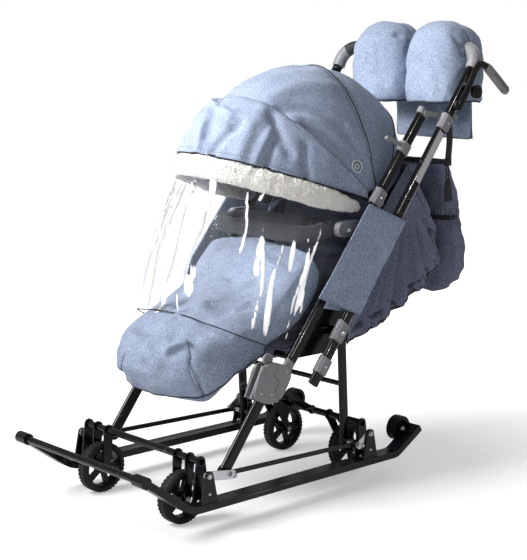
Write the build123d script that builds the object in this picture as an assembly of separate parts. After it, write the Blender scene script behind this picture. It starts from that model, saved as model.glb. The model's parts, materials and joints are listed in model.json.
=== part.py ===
from build123d import *
import math
import os

# Sled stroller: a runner base with four drop-down wheels, a folding tube frame, a handle that
# swings over, a seat in a padded muff, a folding canopy, a clear wind film and a rear bag.
# Millimetres. +X is the child's left, -Y is the front, +Z is up, the wheels stand on Z = 0.

# ---------------------------------------------------------------- running fits and gaps
PIN_GAP = 0.05          # radial play of a pin in its bore
FACE_GAP = 0.3          # play between faces that slide or rest on each other
SIDE_GAP = 5.0          # free space beside what moves

# ---------------------------------------------------------------- runners
RUNNER_X = 216.0        # middle of a runner
RUNNER_WIDE = 36.0
RUNNER_THICK = 16.0
RUNNER_LIFT = 46.0      # underside of the runners above the floor, wheels down
RUNNER_FRONT = -413.0   # where the front curl starts
RUNNER_REAR = 181.0     # where the rear curl starts
FRONT_CURL = (75.0, 36.0, 118.0)   # arc radius, turn in degrees, straight length after it
REAR_CURL = (40.0, 31.0, 86.0)
TIP_BAR_R = 8.0
TIP_EYE_WALL = 5.0

# ---------------------------------------------------------------- wheels
WHEEL_R = 57.5
WHEEL_WIDE = 28.0
RIM_R = 47.0
WHEEL_SPOKES = 5
AXLE_R = 4.0
HUB_R = 13.0
RIM_WALL = 5.0
SPOKE_WIDE = 11.0
FORK_THICK = 3.0
FRONT_WHEEL_X = 146.0
REAR_WHEEL_X = 115.0
FRONT_WHEEL_Y = -395.0
REAR_WHEEL_Y = 144.0
FRONT_TUBE_Y = -388.0   # cross tube that the front forks hang from
FRONT_TUBE_Z = 146.0
REAR_TUBE_Y = 99.0
REAR_TUBE_Z = 140.0
CROSS_TUBE_R = 8.0
FORK_EYE_R = 13.0
TUBE_EYE_WALL = 4.0
PEDAL_HALF = 38.0
PEDAL_ANGLE = 150.0
PEDAL_REACH = 78.0

# ---------------------------------------------------------------- rear tow rollers
ROLLER_R = 30.0
ROLLER_WIDE = 22.0
ROLLER_Y = 246.0
ROLLER_Z = 98.0
ROLLER_X = 183.0
ROLLER_LUG = 3.5

# ---------------------------------------------------------------- brackets, links and tie bars
CHEEK_THICK = 4.0
BRACKET_INSET = 2.0     # bracket narrower than the runner on each side
BRACKET_OUT = RUNNER_X + RUNNER_WIDE / 2 - BRACKET_INSET   # outer face of the outer cheek
BRACKET_BASE = 46.0
BRACKET_EYE_R = 11.0
BRACKET_BOLT_Z = 120.0
FRONT_BOLT_Y = FRONT_TUBE_Y
REAR_BOLT_Y = REAR_TUBE_Y
FRONT_FOOT = (-321.5, 110.0)   # pivot of a front leg, in Y and Z
REAR_FOOT = (67.5, 99.0)       # pivot of a rear leg
FOOT_PIN_R = 5.0
LINK_THICK = 4.0
TIE_HIGH = 10.0
TIE_THICK = 4.0
TIE_X = 213.0

# ---------------------------------------------------------------- folding frame
TUBE_DEEP = 28.0
TUBE_WIDE = 14.0
TUBE_WALL = 1.6
FRAME_X = 200.0         # front legs and main tubes
REAR_LEG_X = 177.0
LEG_ANGLE = 52.9        # rise of a front leg
FRONT_LEG_REACH = 205.0
KNUCKLE = (-158.5, 285.0)      # pivot between front leg and main tube
KNUCKLE_R = 15.0
KNUCKLE_PIN_R = 5.0
HOUSING_WALL = 3.5
HOUSING_CORNERS = [(-220, 328), (-137.5, 305), (-176, 238), (-255, 261)]
HOUSING_BOLT = (-206.0, 300.0)
RELEASE_KNOB = (-205.0, 318.0)
MAIN_ANGLE = 51.5
MAIN_FOOT = (-136.5, 311.0)    # a point on a main tube's middle line
MAIN_START = 14.0       # lengths along a main tube's line, from that point
MAIN_LENGTH = 684.0
SEAT_TUBE_AT = 25.0
HOOK_AT = 589.0
CANOPY_CLAMP_AT = 451.0
PLATE_THICK = 4.0
CLAMP_WALL = 3.0
REAR_LEG_TOP = (50.0, 440.0)   # head of a rear leg on its side plate
LEG_DEEP = 24.0
LEG_WIDE = 12.0
HEAD_GAP = 0.5          # play between a rear leg's head stub and its side plate
REAR_ROD = (60.5, 235.0)
REAR_ROD_R = 6.0
SEAT_ROD = (8.0, 336.0)
SEAT_TUBE_R = 8.0

# ---------------------------------------------------------------- swing-over handle
HANDLE_X = 224.0        # handle tubes pass outside the main tubes
HANDLE_PIVOT = (-0.5, 374.0)
HANDLE_ANGLE = 52.8
HANDLE_TAIL = 135.0     # tube below the pivot
HANDLE_REACH = 733.0    # pivot to the foot of the push bar
HANDLE_PIN_R = 5.0
HANDLE_SLEEVES = [(0.0, 24.0), (-88.0, 20.0), (570.0, 20.0)]   # middle and half length
GRIP_R = 14.0
GRIP_BEND = 44.0
GRIP_BAR = (462.5, 1003.0)
MITTEN_OUTLINE = [(-72, -132), (-92, -45), (-84, 25), (-34, 62), (36, 62), (88, 20), (105, -60), (100, -132)]
MITTEN_REAR = 100.0
MITTEN_LONG_DROP = -216.0
MITTEN_LONG_FROM = 152.0
MITTEN_POCKET = 46.0
MITTEN_PAD = 14.0
MITTEN_LEFT = 206.0
MITTEN_RIGHT = -151.0
MITTEN_SPLIT = 30.0
LEVER_FROM = 622.0
LEVER_KNEE = (462.0, 960.0)
LEVER_TIP = (548.0, 898.0)

# ---------------------------------------------------------------- canopy
CANOPY_AXIS = (165.0, 650.0)   # pivot of the bows, in Y and Z
CANOPY_PIN_R = 5.0
CANOPY_SKIN = 2.0
BOW_THICK = 3.0
BOW_WIDE = 8.0
BOW_SINK = 3.2          # a bow's drop below its panel at the crown
BOW_INSET = 1.0         # and beside its panel at the sides
NEST = CANOPY_SKIN + BOW_SINK + BOW_THICK + 0.6   # each panel's reach inside the one ahead of it
PANEL_HALF = [187.0 - 6.4 * layer for layer in range(3)]
BOW_HALF = [half - CANOPY_SKIN - BOW_INSET for half in PANEL_HALF]
BOW_RIM = (432.0, 17.0, 2.1)   # reach, angle above the front horizontal, squareness
BOW_MID = (376.0, 41.0, 2.4)
BOW_REAR = (324.0, 83.0, 2.0)
BOW_BACK = (288.0, 128.0, 2.0)
BOW_LOW = 4.0           # where a bow, panel, roll or film starts round its arch, in degrees
BOW_TAB = 46.0
PANEL_LOW = 13.0
FLEECE_LOW = 12.0
FLEECE_THICK = 16.0
FLEECE_TALL = 28.0
ARCH_STEPS = 14

# ---------------------------------------------------------------- wind film
FILM_THICK = 1.0
FILM_LOW = 17.0
FILM_HALF = 187.0
FILM_HEM_AXIS = (-60.0, 352.0)
FILM_HEM = (222.0, 25.0, 4.5)
FILM_HEM_LOW = 10.0

# ---------------------------------------------------------------- seat and soft goods
SOFT_GAP = 0.3
SEAT_HALF = 150.0
SEAT_FRONT = -152.0
SEAT_REAR = 60.0
SEAT_LOW = 318.0
SEAT_THICK = 32.0
BACK_HINGE = (78.0, 345.0)
BACK_PIN_R = 4.0
BACK_ANGLE = 67.8
BACK_LENGTH = 420.0
BACK_THICK = 35.0
BUMPER_R = 20.0
BUMPER_HALF = 155.0
BUMPER_END = (46.0, 598.0)
BUMPER_FRONT = (-38.0, 588.0)
BUMPER_BEND = 50.0
MUFF_PAD = 12.0
MUFF_OUTLINE = [(-347, 246), (-395, 300), (-392, 345), (-362, 378), (-272, 415), (-137, 470), (-40, 545),
                (-15, 500), (-60, 405), (-152, 350.4), (-166, 328), (-262, 274)]
MUFF_POCKET = [(-341, 262), (-382, 304), (-379, 341), (-354, 367), (-267, 403), (-131, 458), (-30, 536),
               (30, 500), (-40, 412), (-140, 364), (-168, 341), (-265, 287)]
SKIRT_HALF = 188.7
SKIRT_SKIN = 3.2
SKIRT_OUTLINE = [(60, 428), (80, 400), (80, 310), (193, 362), (276, 400), (362, 450), (402, 507), (345, 619),
                 (297, 690), (290, 735), (262, 735), (110, 560), (60, 452)]
SKIRT_POCKET = [(30, 428), (77, 400), (77, 313), (192, 365.5), (275, 403.5), (360, 452.5), (398, 507),
                (342, 617), (293.5, 689), (286.5, 745), (250, 745), (90, 560), (30, 452)]
BAG_LOW = 410.0
BAG_TOP = 728.0
BAG_DEEP = 78.0
BAG_HALF = 195.0
BAG_SKIN = 3.0
SLEEVE_SKIN = 2.5
SLEEVE_SPAN = (156.0, 405.0)
SLEEVE_AHEAD = 48.0
SLEEVE_STEP = 97.0       # the handle's lengths start this much further up the tubes
STRAP_SEWN = 12.0
STRAP_LOW = 640.0
STRAP_WIDE = 20.0
STRAP_THICK = 3.0


def at(y, z, x=0.0):
    """A point given by its Y and Z, then X."""
    return Vector(x, y, z)


def along(start, angle, reach):
    """The (y, z) point at a distance from start, angle in degrees above +Y."""
    a = math.radians(angle)
    return (start[0] + reach * math.cos(a), start[1] + reach * math.sin(a))


def rod(p, q, r):
    """A round bar from p to q."""
    d = q - p
    return Solid.make_cylinder(r, d.length, Plane(origin=p, z_dir=d))


def cross_bar(y, z, x0, x1, r):
    """A round bar along X."""
    return rod(at(y, z, x0), at(y, z, x1), r)


def plate(points, x0, x1):
    """A plate parallel to the YZ plane with corners at (y, z) points."""
    wire = Wire.make_polygon([at(y, z, x0) for y, z in points])
    return Solid.extrude(Face(wire), Vector(x1 - x0, 0, 0))


def strip(p, q, half, x0, x1):
    """A link plate with round ends between two (y, z) points."""
    d = Vector(q[0] - p[0], q[1] - p[1], 0)
    n = Vector(-d.Y, d.X, 0).normalized() * half
    body = plate([(p[0] + n.X, p[1] + n.Y), (q[0] + n.X, q[1] + n.Y),
                  (q[0] - n.X, q[1] - n.Y), (p[0] - n.X, p[1] - n.Y)], x0, x1)
    ends = [cross_bar(y, z, x0, x1, half) for y, z in (p, q)]
    return body.fuse(*ends).clean()


def flat_tube(p, q, x, deep=TUBE_DEEP, wide=TUBE_WIDE, wall=TUBE_WALL):
    """A hollow flat-oval tube between two (y, z) points in the plane X = x."""
    a, b = at(*p, x), at(*q, x)
    d = b - a
    plane = Plane(origin=a, x_dir=Vector(0, -d.Z, d.Y).normalized(), z_dir=d)
    outer = plane * SlotOverall(deep, wide)
    inner = plane * SlotOverall(deep - 2 * wall, wide - 2 * wall)
    return extrude(outer - inner, d.length, dir=d).solid()


def flat_bar(p, q, x, deep, wide):
    """A solid flat-oval bar between two (y, z) points in the plane X = x."""
    a, b = at(*p, x), at(*q, x)
    d = b - a
    plane = Plane(origin=a, x_dir=Vector(0, -d.Z, d.Y).normalized(), z_dir=d)
    return extrude(plane * SlotOverall(deep, wide), d.length, dir=d).solid()


def both(shape):
    """A shape and its mirror image in the plane X = 0."""
    return [shape, shape.mirror(Plane.YZ)]


def write(name, *solids):
    """Write one node's solids to its file."""
    flat = [s for item in solids for s in (item if isinstance(item, list) else [item])]
    parts = [s for item in flat for s in item.solids()]
    shape = parts[0] if len(parts) == 1 else Compound(parts)
    export_step(shape, f"parts/{name}.step")


def write_sides(name, shape):
    """Write a piece of the left side and its mirror image as two nodes."""
    write(f"{name}_left", shape)
    write(f"{name}_right", shape.mirror(Plane.YZ))


# ================================================================= runner base
def curl_end(start_y, start_z, way, curl):
    """Where a curl ends: (y, z) of its underside and the direction it points."""
    radius, turn, straight = curl
    t = math.radians(turn)
    y = start_y + way * (radius * math.sin(t) + straight * math.cos(t))
    z = start_z + radius * (1 - math.cos(t)) + straight * math.sin(t)
    return (y, z), (way * math.cos(t), math.sin(t))


def tip_eye():
    """Middle of the eye at a runner's front tip, in Y and Z."""
    (y, z), (dy, dz) = curl_end(RUNNER_FRONT, RUNNER_LIFT, -1, FRONT_CURL)
    half = RUNNER_THICK / 2
    return (y + dz * half + dy * TIP_BAR_R, z - dy * half + dz * TIP_BAR_R)


def runner():
    """One runner: a flat sole that curls up at both ends, with the tip's eye."""
    low, high = RUNNER_LIFT, RUNNER_LIFT + RUNNER_THICK

    def edge(level, inset):
        f_r, f_turn, f_len = FRONT_CURL
        r_r, r_turn, r_len = REAR_CURL
        flat = Line((RUNNER_FRONT, level), (RUNNER_REAR, level))
        f_arc = JernArc((RUNNER_FRONT, level), (-1, 0), f_r - inset, -f_turn)
        f_run = Line(f_arc @ 1, f_arc @ 1 + (f_arc % 1) * f_len)
        r_arc = JernArc((RUNNER_REAR, level), (1, 0), r_r - inset, r_turn)
        r_run = Line(r_arc @ 1, r_arc @ 1 + (r_arc % 1) * r_len)
        return [flat, f_arc, f_run, r_arc, r_run], f_run @ 1, r_run @ 1

    sole, sole_front, sole_rear = edge(low, 0.0)
    top, top_front, top_rear = edge(high, RUNNER_THICK)
    ends = [Line(sole_front, top_front), Line(sole_rear, top_rear)]
    face = make_face(Wire(sole + top + ends).edges())
    plane = Plane(origin=(RUNNER_X - RUNNER_WIDE / 2, 0, 0), x_dir=(0, 1, 0), z_dir=(1, 0, 0))
    body = extrude(plane * face, RUNNER_WIDE).solid()
    y, z = tip_eye()
    half = RUNNER_WIDE / 2
    eye = cross_bar(y, z, RUNNER_X - half, RUNNER_X + half, TIP_BAR_R + TIP_EYE_WALL)
    hole = cross_bar(y, z, RUNNER_X - half - 1, RUNNER_X + half + 1, TIP_BAR_R)
    return body.fuse(eye).cut(hole).solid()


def bracket(bolt_y, tube_y, tube_z):
    """An upright U bracket on a runner: outer cheek for the link, inner cheek for the cross tube."""
    top = RUNNER_LIFT + RUNNER_THICK
    half = BRACKET_BASE / 2
    x0 = RUNNER_X - RUNNER_WIDE / 2 + BRACKET_INSET
    x1 = RUNNER_X + RUNNER_WIDE / 2 - BRACKET_INSET
    base = plate([(bolt_y - half, top), (bolt_y + half, top),
                  (bolt_y + half, top + CHEEK_THICK), (bolt_y - half, top + CHEEK_THICK)], x0, x1)
    e = BRACKET_EYE_R
    outer = plate([(bolt_y - half, top), (bolt_y + half, top), (bolt_y + e, BRACKET_BOLT_Z),
                   (bolt_y - e, BRACKET_BOLT_Z)], x1 - CHEEK_THICK, x1)
    outer = outer.fuse(cross_bar(bolt_y, BRACKET_BOLT_Z, x1 - CHEEK_THICK, x1, e))
    f = CROSS_TUBE_R + TUBE_EYE_WALL
    inner = plate([(bolt_y - half, top), (bolt_y + half, top), (tube_y + f, tube_z),
                   (tube_y - f, tube_z)], x0, x0 + CHEEK_THICK)
    inner = inner.fuse(cross_bar(tube_y, tube_z, x0, x0 + CHEEK_THICK, f))
    body = base.fuse(outer, inner)
    bore = cross_bar(tube_y, tube_z, x0 - 1, x0 + CHEEK_THICK + 1, CROSS_TUBE_R + PIN_GAP)
    bolt = cross_bar(bolt_y, BRACKET_BOLT_Z, x1 - CHEEK_THICK - 1, x1 + 1, FOOT_PIN_R)
    return body.cut(bore, bolt).solid()


def link(bolt, foot, pin_end):
    """A zinc link plate from a bracket's bolt to a leg's foot, with both pins."""
    x1 = BRACKET_OUT - CHEEK_THICK - FACE_GAP
    x0 = x1 - LINK_THICK
    body = strip(bolt, foot, BRACKET_EYE_R - 1, x0, x1)
    bolt_pin = cross_bar(*bolt, x0, BRACKET_OUT + 3, FOOT_PIN_R)
    foot_pin = cross_bar(*foot, pin_end, x0, FOOT_PIN_R)
    return body.fuse(bolt_pin, foot_pin).solid()


def tie_bar():
    """The thin bar that joins a front foot pin and a rear foot pin."""
    x0, x1 = TIE_X - TIE_THICK / 2, TIE_X + TIE_THICK / 2
    body = strip(FRONT_FOOT, REAR_FOOT, TIE_HIGH / 2, x0, x1)
    for y, z in (FRONT_FOOT, REAR_FOOT):
        body = body.fuse(cross_bar(y, z, x0, x1, FOOT_PIN_R + 4))
    for y, z in (FRONT_FOOT, REAR_FOOT):
        body = body.cut(cross_bar(y, z, x0 - 1, x1 + 1, FOOT_PIN_R))
    return body.solid()


def roller_bracket():
    """The lug and axle that carry one tow roller beside a runner's raised tail."""
    inner = RUNNER_X - RUNNER_WIDE / 2
    lug = strip((ROLLER_Y, ROLLER_Z), (ROLLER_Y - 14, ROLLER_Z - 20), 9, inner - ROLLER_LUG, inner)
    axle = cross_bar(ROLLER_Y, ROLLER_Z, ROLLER_X - ROLLER_WIDE / 2 - 4, inner - ROLLER_LUG, AXLE_R)
    return lug.fuse(axle).solid()


def roller():
    """One tow roller: a solid wheel with a web thinner than its rim."""
    body = Cylinder(ROLLER_R, ROLLER_WIDE)
    dish = Cylinder(ROLLER_R - 7, ROLLER_WIDE).cut(Cylinder(HUB_R - 2, ROLLER_WIDE))
    for side in (-1, 1):
        body = body.cut(Pos(0, 0, side * (ROLLER_WIDE / 2 + 3)) * dish)
    body = body.cut(Cylinder(AXLE_R + PIN_GAP, ROLLER_WIDE + 2))
    return (Pos(ROLLER_X, ROLLER_Y, ROLLER_Z) * Rot(0, 90, 0) * body).solid()


# ================================================================= wheels
def tyre(x, y):
    """A tyre with rounded shoulders about an axle along X."""
    ring = Cylinder(WHEEL_R, WHEEL_WIDE).cut(Cylinder(RIM_R, WHEEL_WIDE + 2))
    edges = ring.edges().filter_by(GeomType.CIRCLE).sort_by(SortBy.RADIUS)[-2:]
    ring = fillet(edges, WHEEL_WIDE * 0.28)
    return (Pos(x, y, WHEEL_R) * Rot(0, 90, 0) * ring).solid()


def rim(x, y):
    """A wheel centre: hub, outer hoop and flat spokes with openings between them."""
    hoop = Cylinder(RIM_R, WHEEL_WIDE - 6).cut(Cylinder(RIM_R - RIM_WALL, WHEEL_WIDE))
    body = hoop.fuse(Cylinder(HUB_R, WHEEL_WIDE))
    inner, outer = HUB_R / 2, RIM_R - RIM_WALL / 2
    arm = Box(outer - inner, SPOKE_WIDE, WHEEL_WIDE * 0.4)
    for i in range(WHEEL_SPOKES):
        turn = 360.0 / WHEEL_SPOKES * i + 90
        body = body.fuse(Rot(0, 0, turn) * Pos((inner + outer) / 2, 0, 0) * arm)
    body = body.cut(Cylinder(AXLE_R + PIN_GAP, WHEEL_WIDE + 2))
    return (Pos(x, y, WHEEL_R) * Rot(0, 90, 0) * body).solid()


def forks(tube_y, tube_z, wheel_x, wheel_y):
    """Two fork plates and the axle of one wheel, hung from a cross tube."""
    half = WHEEL_WIDE / 2 + SIDE_GAP
    body = cross_bar(wheel_y, WHEEL_R, wheel_x - half - FORK_THICK - 3,
                     wheel_x + half + FORK_THICK + 3, AXLE_R)
    for side in (-1, 1):
        near = wheel_x + side * (WHEEL_WIDE / 2 + FACE_GAP)
        far = wheel_x + side * half
        body = body.fuse(cross_bar(wheel_y, WHEEL_R, min(near, far), max(near, far), AXLE_R + 4))
    for x0 in (wheel_x - half - FORK_THICK, wheel_x + half):
        arm = plate([(tube_y - FORK_EYE_R, tube_z), (tube_y + FORK_EYE_R, tube_z),
                     (wheel_y + 9, WHEEL_R), (wheel_y - 9, WHEEL_R)], x0, x0 + FORK_THICK)
        arm = arm.fuse(cross_bar(tube_y, tube_z, x0, x0 + FORK_THICK, FORK_EYE_R))
        arm = arm.fuse(cross_bar(wheel_y, WHEEL_R, x0, x0 + FORK_THICK, 9))
        arm = arm.cut(cross_bar(tube_y, tube_z, x0 - 1, x0 + FORK_THICK + 1, CROSS_TUBE_R))
        body = body.fuse(arm)
    return body.solid()


def cross_tube(y, z):
    """A tube from the inner cheek of one bracket to that of the other."""
    end = RUNNER_X - RUNNER_WIDE / 2 + BRACKET_INSET + CHEEK_THICK + 2
    outer = cross_bar(y, z, -end, end, CROSS_TUBE_R)
    return outer.cut(cross_bar(y, z, -end - 1, end + 1, CROSS_TUBE_R - TUBE_WALL)).solid()


def pedal():
    """The foot pedal that swings the rear wheels up: two arms and a tread plate."""
    hub = (REAR_TUBE_Y, REAR_TUBE_Z)
    tip = along(hub, PEDAL_ANGLE, PEDAL_REACH)
    body = None
    for x in (-PEDAL_HALF, PEDAL_HALF - 4):
        arm = strip(hub, tip, 8, x, x + 4).fuse(cross_bar(*hub, x, x + 4, CROSS_TUBE_R + 3))
        arm = arm.cut(cross_bar(*hub, x - 1, x + 5, CROSS_TUBE_R))
        body = arm if body is None else body.fuse(arm)
    tread = Pos(0, *tip) * Rot(PEDAL_ANGLE - 180, 0, 0) * Box(2 * PEDAL_HALF, 34, 6)
    return body.fuse(tread.solid()).solid()


# ================================================================= folding frame
def front_leg():
    """A front leg: foot eye and flat-oval bar up into the fold housing."""
    stop = along(FRONT_FOOT, LEG_ANGLE, FRONT_LEG_REACH)
    tube = flat_bar(along(FRONT_FOOT, LEG_ANGLE, 4), stop, FRAME_X, TUBE_DEEP, TUBE_WIDE)
    x0, x1 = FRAME_X - TUBE_WIDE / 2, FRAME_X + TUBE_WIDE / 2
    eye = cross_bar(*FRONT_FOOT, x0, x1, TUBE_DEEP / 2)
    bore = cross_bar(*FRONT_FOOT, x0 - 1, x1 + 1, FOOT_PIN_R + PIN_GAP)
    return tube.fuse(eye).cut(bore).solid()


def lower_housing():
    """Two cheeks on a front leg that carry the fold pivot, with their release knob."""
    body = None
    for side in (-1, 1):
        near = FRAME_X + side * (TUBE_WIDE / 2 + FACE_GAP)
        far = near + side * HOUSING_WALL
        x0, x1 = min(near, far), max(near, far)
        cheek = plate(HOUSING_CORNERS, x0, x1).fuse(cross_bar(*KNUCKLE, x0, x1, KNUCKLE_R))
        body = cheek if body is None else body.fuse(cheek)
    reach = TUBE_WIDE / 2 + FACE_GAP
    pin = cross_bar(*KNUCKLE, FRAME_X - reach, FRAME_X + reach, KNUCKLE_PIN_R)
    spacer = cross_bar(*HOUSING_BOLT, FRAME_X - reach, FRAME_X + reach, 4)
    knob = cross_bar(*RELEASE_KNOB, FRAME_X + reach, FRAME_X + reach + HOUSING_WALL + 6, 11)
    return body.fuse(pin, spacer, knob).solid()


def on_main(s, offset=0.0):
    """A point a length s up a main tube's middle line, offset to its rear."""
    y, z = along(MAIN_FOOT, MAIN_ANGLE, s)
    a = math.radians(MAIN_ANGLE)
    return (y + offset * math.sin(a), z - offset * math.cos(a))


def on_handle(s, offset=0.0):
    """A point a length s above the handle's pivot on its middle line, offset to its rear."""
    y, z = along(HANDLE_PIVOT, HANDLE_ANGLE, s)
    a = math.radians(HANDLE_ANGLE)
    return (y + offset * math.sin(a), z - offset * math.cos(a))


def main_tube():
    """A main side tube from the fold housing up to the top catch."""
    return flat_tube(on_main(MAIN_START), on_main(MAIN_LENGTH), FRAME_X)


def upper_housing():
    """The block between the cheeks: an eye on the fold pivot and a root for the main tube."""
    x0, x1 = FRAME_X - TUBE_WIDE / 2, FRAME_X + TUBE_WIDE / 2
    a = math.radians(MAIN_ANGLE)
    below = (KNUCKLE[0] - MAIN_FOOT[0]) * math.cos(a) + (KNUCKLE[1] - MAIN_FOOT[1]) * math.sin(a)
    root = flat_bar(on_main(below), on_main(MAIN_START), FRAME_X, TUBE_DEEP, TUBE_WIDE)
    body = root.fuse(cross_bar(*KNUCKLE, x0, x1, KNUCKLE_R))
    return body.cut(cross_bar(*KNUCKLE, x0 - 1, x1 + 1, KNUCKLE_PIN_R + PIN_GAP)).solid()


def side_plate():
    """The plate inside a main tube that carries the handle pivot and the rear leg's head."""
    x1 = FRAME_X - TUBE_WIDE / 2
    x0 = x1 - PLATE_THICK
    t_y, t_z = REAR_LEG_TOP
    body = plate([on_main(10, -8), on_main(190, -8), (t_y + 8, t_z + 12), (t_y + 12, t_z - 8),
                  (SEAT_ROD[0] + 17, SEAT_ROD[1] - 10), (SEAT_ROD[0] - 12, SEAT_ROD[1] - 13)], x0, x1)
    body = body.fuse(cross_bar(*REAR_LEG_TOP, x0, x1, 14), cross_bar(*HANDLE_PIVOT, x0, x1, 17))
    ring_face = HANDLE_X - TUBE_WIDE / 2 - CLAMP_WALL
    boss = cross_bar(*HANDLE_PIVOT, x1, ring_face - FACE_GAP, 11)
    pin = cross_bar(*HANDLE_PIVOT, x0, HANDLE_X + TUBE_WIDE / 2 + CLAMP_WALL + 3, HANDLE_PIN_R)
    return body.fuse(boss, pin).solid()


def frame_rods():
    """The two tubes under the seat that join the left and right halves of the upper frame."""
    seat_end = FRAME_X - TUBE_WIDE / 2 - PLATE_THICK
    return [cross_bar(*on_main(SEAT_TUBE_AT), -seat_end, seat_end, SEAT_TUBE_R),
            cross_bar(*SEAT_ROD, -seat_end, seat_end, SEAT_TUBE_R)]


def top_catch():
    """The grey elbow on a main tube's top: cap, side arm and the finger behind the handle tube."""
    cap = flat_bar(on_main(MAIN_LENGTH), on_main(MAIN_LENGTH + 16), FRAME_X, TUBE_DEEP + 6, TUBE_WIDE + 4)
    face = FRAME_X + TUBE_WIDE / 2 + 2
    y0, z0 = on_main(MAIN_LENGTH + 8)
    reach = (z0 - HANDLE_PIVOT[1]) / math.sin(math.radians(HANDLE_ANGLE))
    behind = TUBE_DEEP / 2 + FACE_GAP + 6
    arm = strip((y0, z0), on_handle(reach, behind), 6, face - 1, face + 4)
    finger = cross_bar(*on_handle(reach, behind), face, HANDLE_X + TUBE_WIDE / 2, 6)
    return cap.fuse(arm, finger).solid()


def clamp_ring(p, q, x, deep, wide, wall):
    """A sleeve round a flat-oval tube from p to q."""
    outer = flat_bar(p, q, x, deep + 2 * wall, wide + 2 * wall)
    return outer.cut(flat_bar(p, q, x, deep, wide)).solid()


def canopy_clamp():
    """The clamp on a main tube that carries the canopy bows' pivot pin."""
    mid = CANOPY_CLAMP_AT
    ring = clamp_ring(on_main(mid - 20), on_main(mid + 20), FRAME_X, TUBE_DEEP, TUBE_WIDE, CLAMP_WALL)
    x1 = FRAME_X - TUBE_WIDE / 2
    lug = strip(on_main(mid, TUBE_DEEP / 2 + 4), CANOPY_AXIS, 9, x1 - CLAMP_WALL, x1)
    pin = cross_bar(*CANOPY_AXIS, BOW_HALF[2] - 2, x1, CANOPY_PIN_R)
    return ring.fuse(lug, pin).solid()


def hook():
    """The small hook on a main tube above the canopy clamp."""
    ring = clamp_ring(on_main(HOOK_AT - 13), on_main(HOOK_AT + 13), FRAME_X, TUBE_DEEP, TUBE_WIDE,
                      CLAMP_WALL)
    tip = on_main(HOOK_AT - 12, -60)
    arm = strip(on_main(HOOK_AT, -TUBE_DEEP / 2 - 5.5), tip, 5, FRAME_X - 4, FRAME_X + 4)
    return ring.fuse(arm).solid()


def bumper():
    """The padded bar in front of the child: a U of round section."""
    y0, z0 = BUMPER_END
    side = BUMPER_HALF
    front_y, front_z = BUMPER_FRONT
    path = FilletPolyline((side, y0, z0), (side, front_y, front_z), (-side, front_y, front_z),
                          (-side, y0, z0), radius=BUMPER_BEND)
    start = Plane(origin=(side, y0, z0), z_dir=Vector(0, front_y - y0, front_z - z0))
    return sweep(start * Circle(BUMPER_R), path=path).solid()


def bumper_end():
    """The plate that carries one end of the bumper bar on its main tube."""
    x1 = FRAME_X - TUBE_WIDE / 2
    s = (BUMPER_END[1] - MAIN_FOOT[1]) / math.sin(math.radians(MAIN_ANGLE))
    return strip(on_main(s), BUMPER_END, BUMPER_R - 2, BUMPER_HALF + BUMPER_R, x1)


# ================================================================= rear legs
def rear_leg():
    """A rear leg: foot eye, flat-oval bar and the head beside its side plate."""
    x0, x1 = REAR_LEG_X - LEG_WIDE / 2, REAR_LEG_X + LEG_WIDE / 2
    bar = flat_bar(REAR_FOOT, REAR_LEG_TOP, REAR_LEG_X, LEG_DEEP, LEG_WIDE)
    body = bar.fuse(cross_bar(*REAR_FOOT, x0, x1, LEG_DEEP / 2 + 1))
    body = body.fuse(cross_bar(*REAR_LEG_TOP, x0, x1, LEG_DEEP / 2 + 1))
    body = body.cut(cross_bar(*REAR_FOOT, x0 - 1, x1 + 1, FOOT_PIN_R + PIN_GAP))
    stub_end = FRAME_X - TUBE_WIDE / 2 - PLATE_THICK - HEAD_GAP
    return body.fuse(cross_bar(*REAR_LEG_TOP, x1, stub_end, FOOT_PIN_R)).solid()


# ================================================================= handle
def handle_tube():
    """One handle side tube, bored for its pivot pin."""
    tube = flat_tube(on_handle(-HANDLE_TAIL), on_handle(HANDLE_REACH), HANDLE_X)
    x0, x1 = HANDLE_X - TUBE_WIDE / 2 - 1, HANDLE_X + TUBE_WIDE / 2 + 1
    return tube.cut(cross_bar(*HANDLE_PIVOT, x0, x1, HANDLE_PIN_R + PIN_GAP)).solid()


def handle_clamps():
    """The grey sleeves on one handle tube: pivot block, tail clamp and upper cap."""
    sleeves = []
    for mid, half in HANDLE_SLEEVES:
        ring = clamp_ring(on_handle(mid - half), on_handle(mid + half), HANDLE_X, TUBE_DEEP, TUBE_WIDE,
                          CLAMP_WALL)
        bore = cross_bar(*HANDLE_PIVOT, HANDLE_X - 20, HANDLE_X + 20, HANDLE_PIN_R + PIN_GAP)
        sleeves.append(ring.cut(bore).solid())
    return sleeves


def grip(r):
    """The round push bar, a U from one handle tube to the other, at a radius."""
    y1, z1 = GRIP_BAR
    foot = on_handle(HANDLE_REACH)
    lean = Vector(0, y1 - foot[0], z1 - foot[1]).normalized()
    y0, z0 = foot[0] - 12 * lean.Y, foot[1] - 12 * lean.Z
    path = FilletPolyline((HANDLE_X, y0, z0), (HANDLE_X, y1, z1), (-HANDLE_X, y1, z1),
                          (-HANDLE_X, y0, z0), radius=GRIP_BEND)
    start = Plane(origin=(HANDLE_X, y0, z0), z_dir=lean)
    bar = sweep(start * Circle(r), path=path)
    a = math.radians(HANDLE_ANGLE)
    end_face = Plane(origin=at(*foot), x_dir=(1, 0, 0), z_dir=(0, math.cos(a), math.sin(a)))
    below = end_face * Box(2 * HANDLE_X + 80, 90, 60, align=(Align.CENTER, Align.CENTER, Align.MAX))
    return (bar - below).solid()


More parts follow.
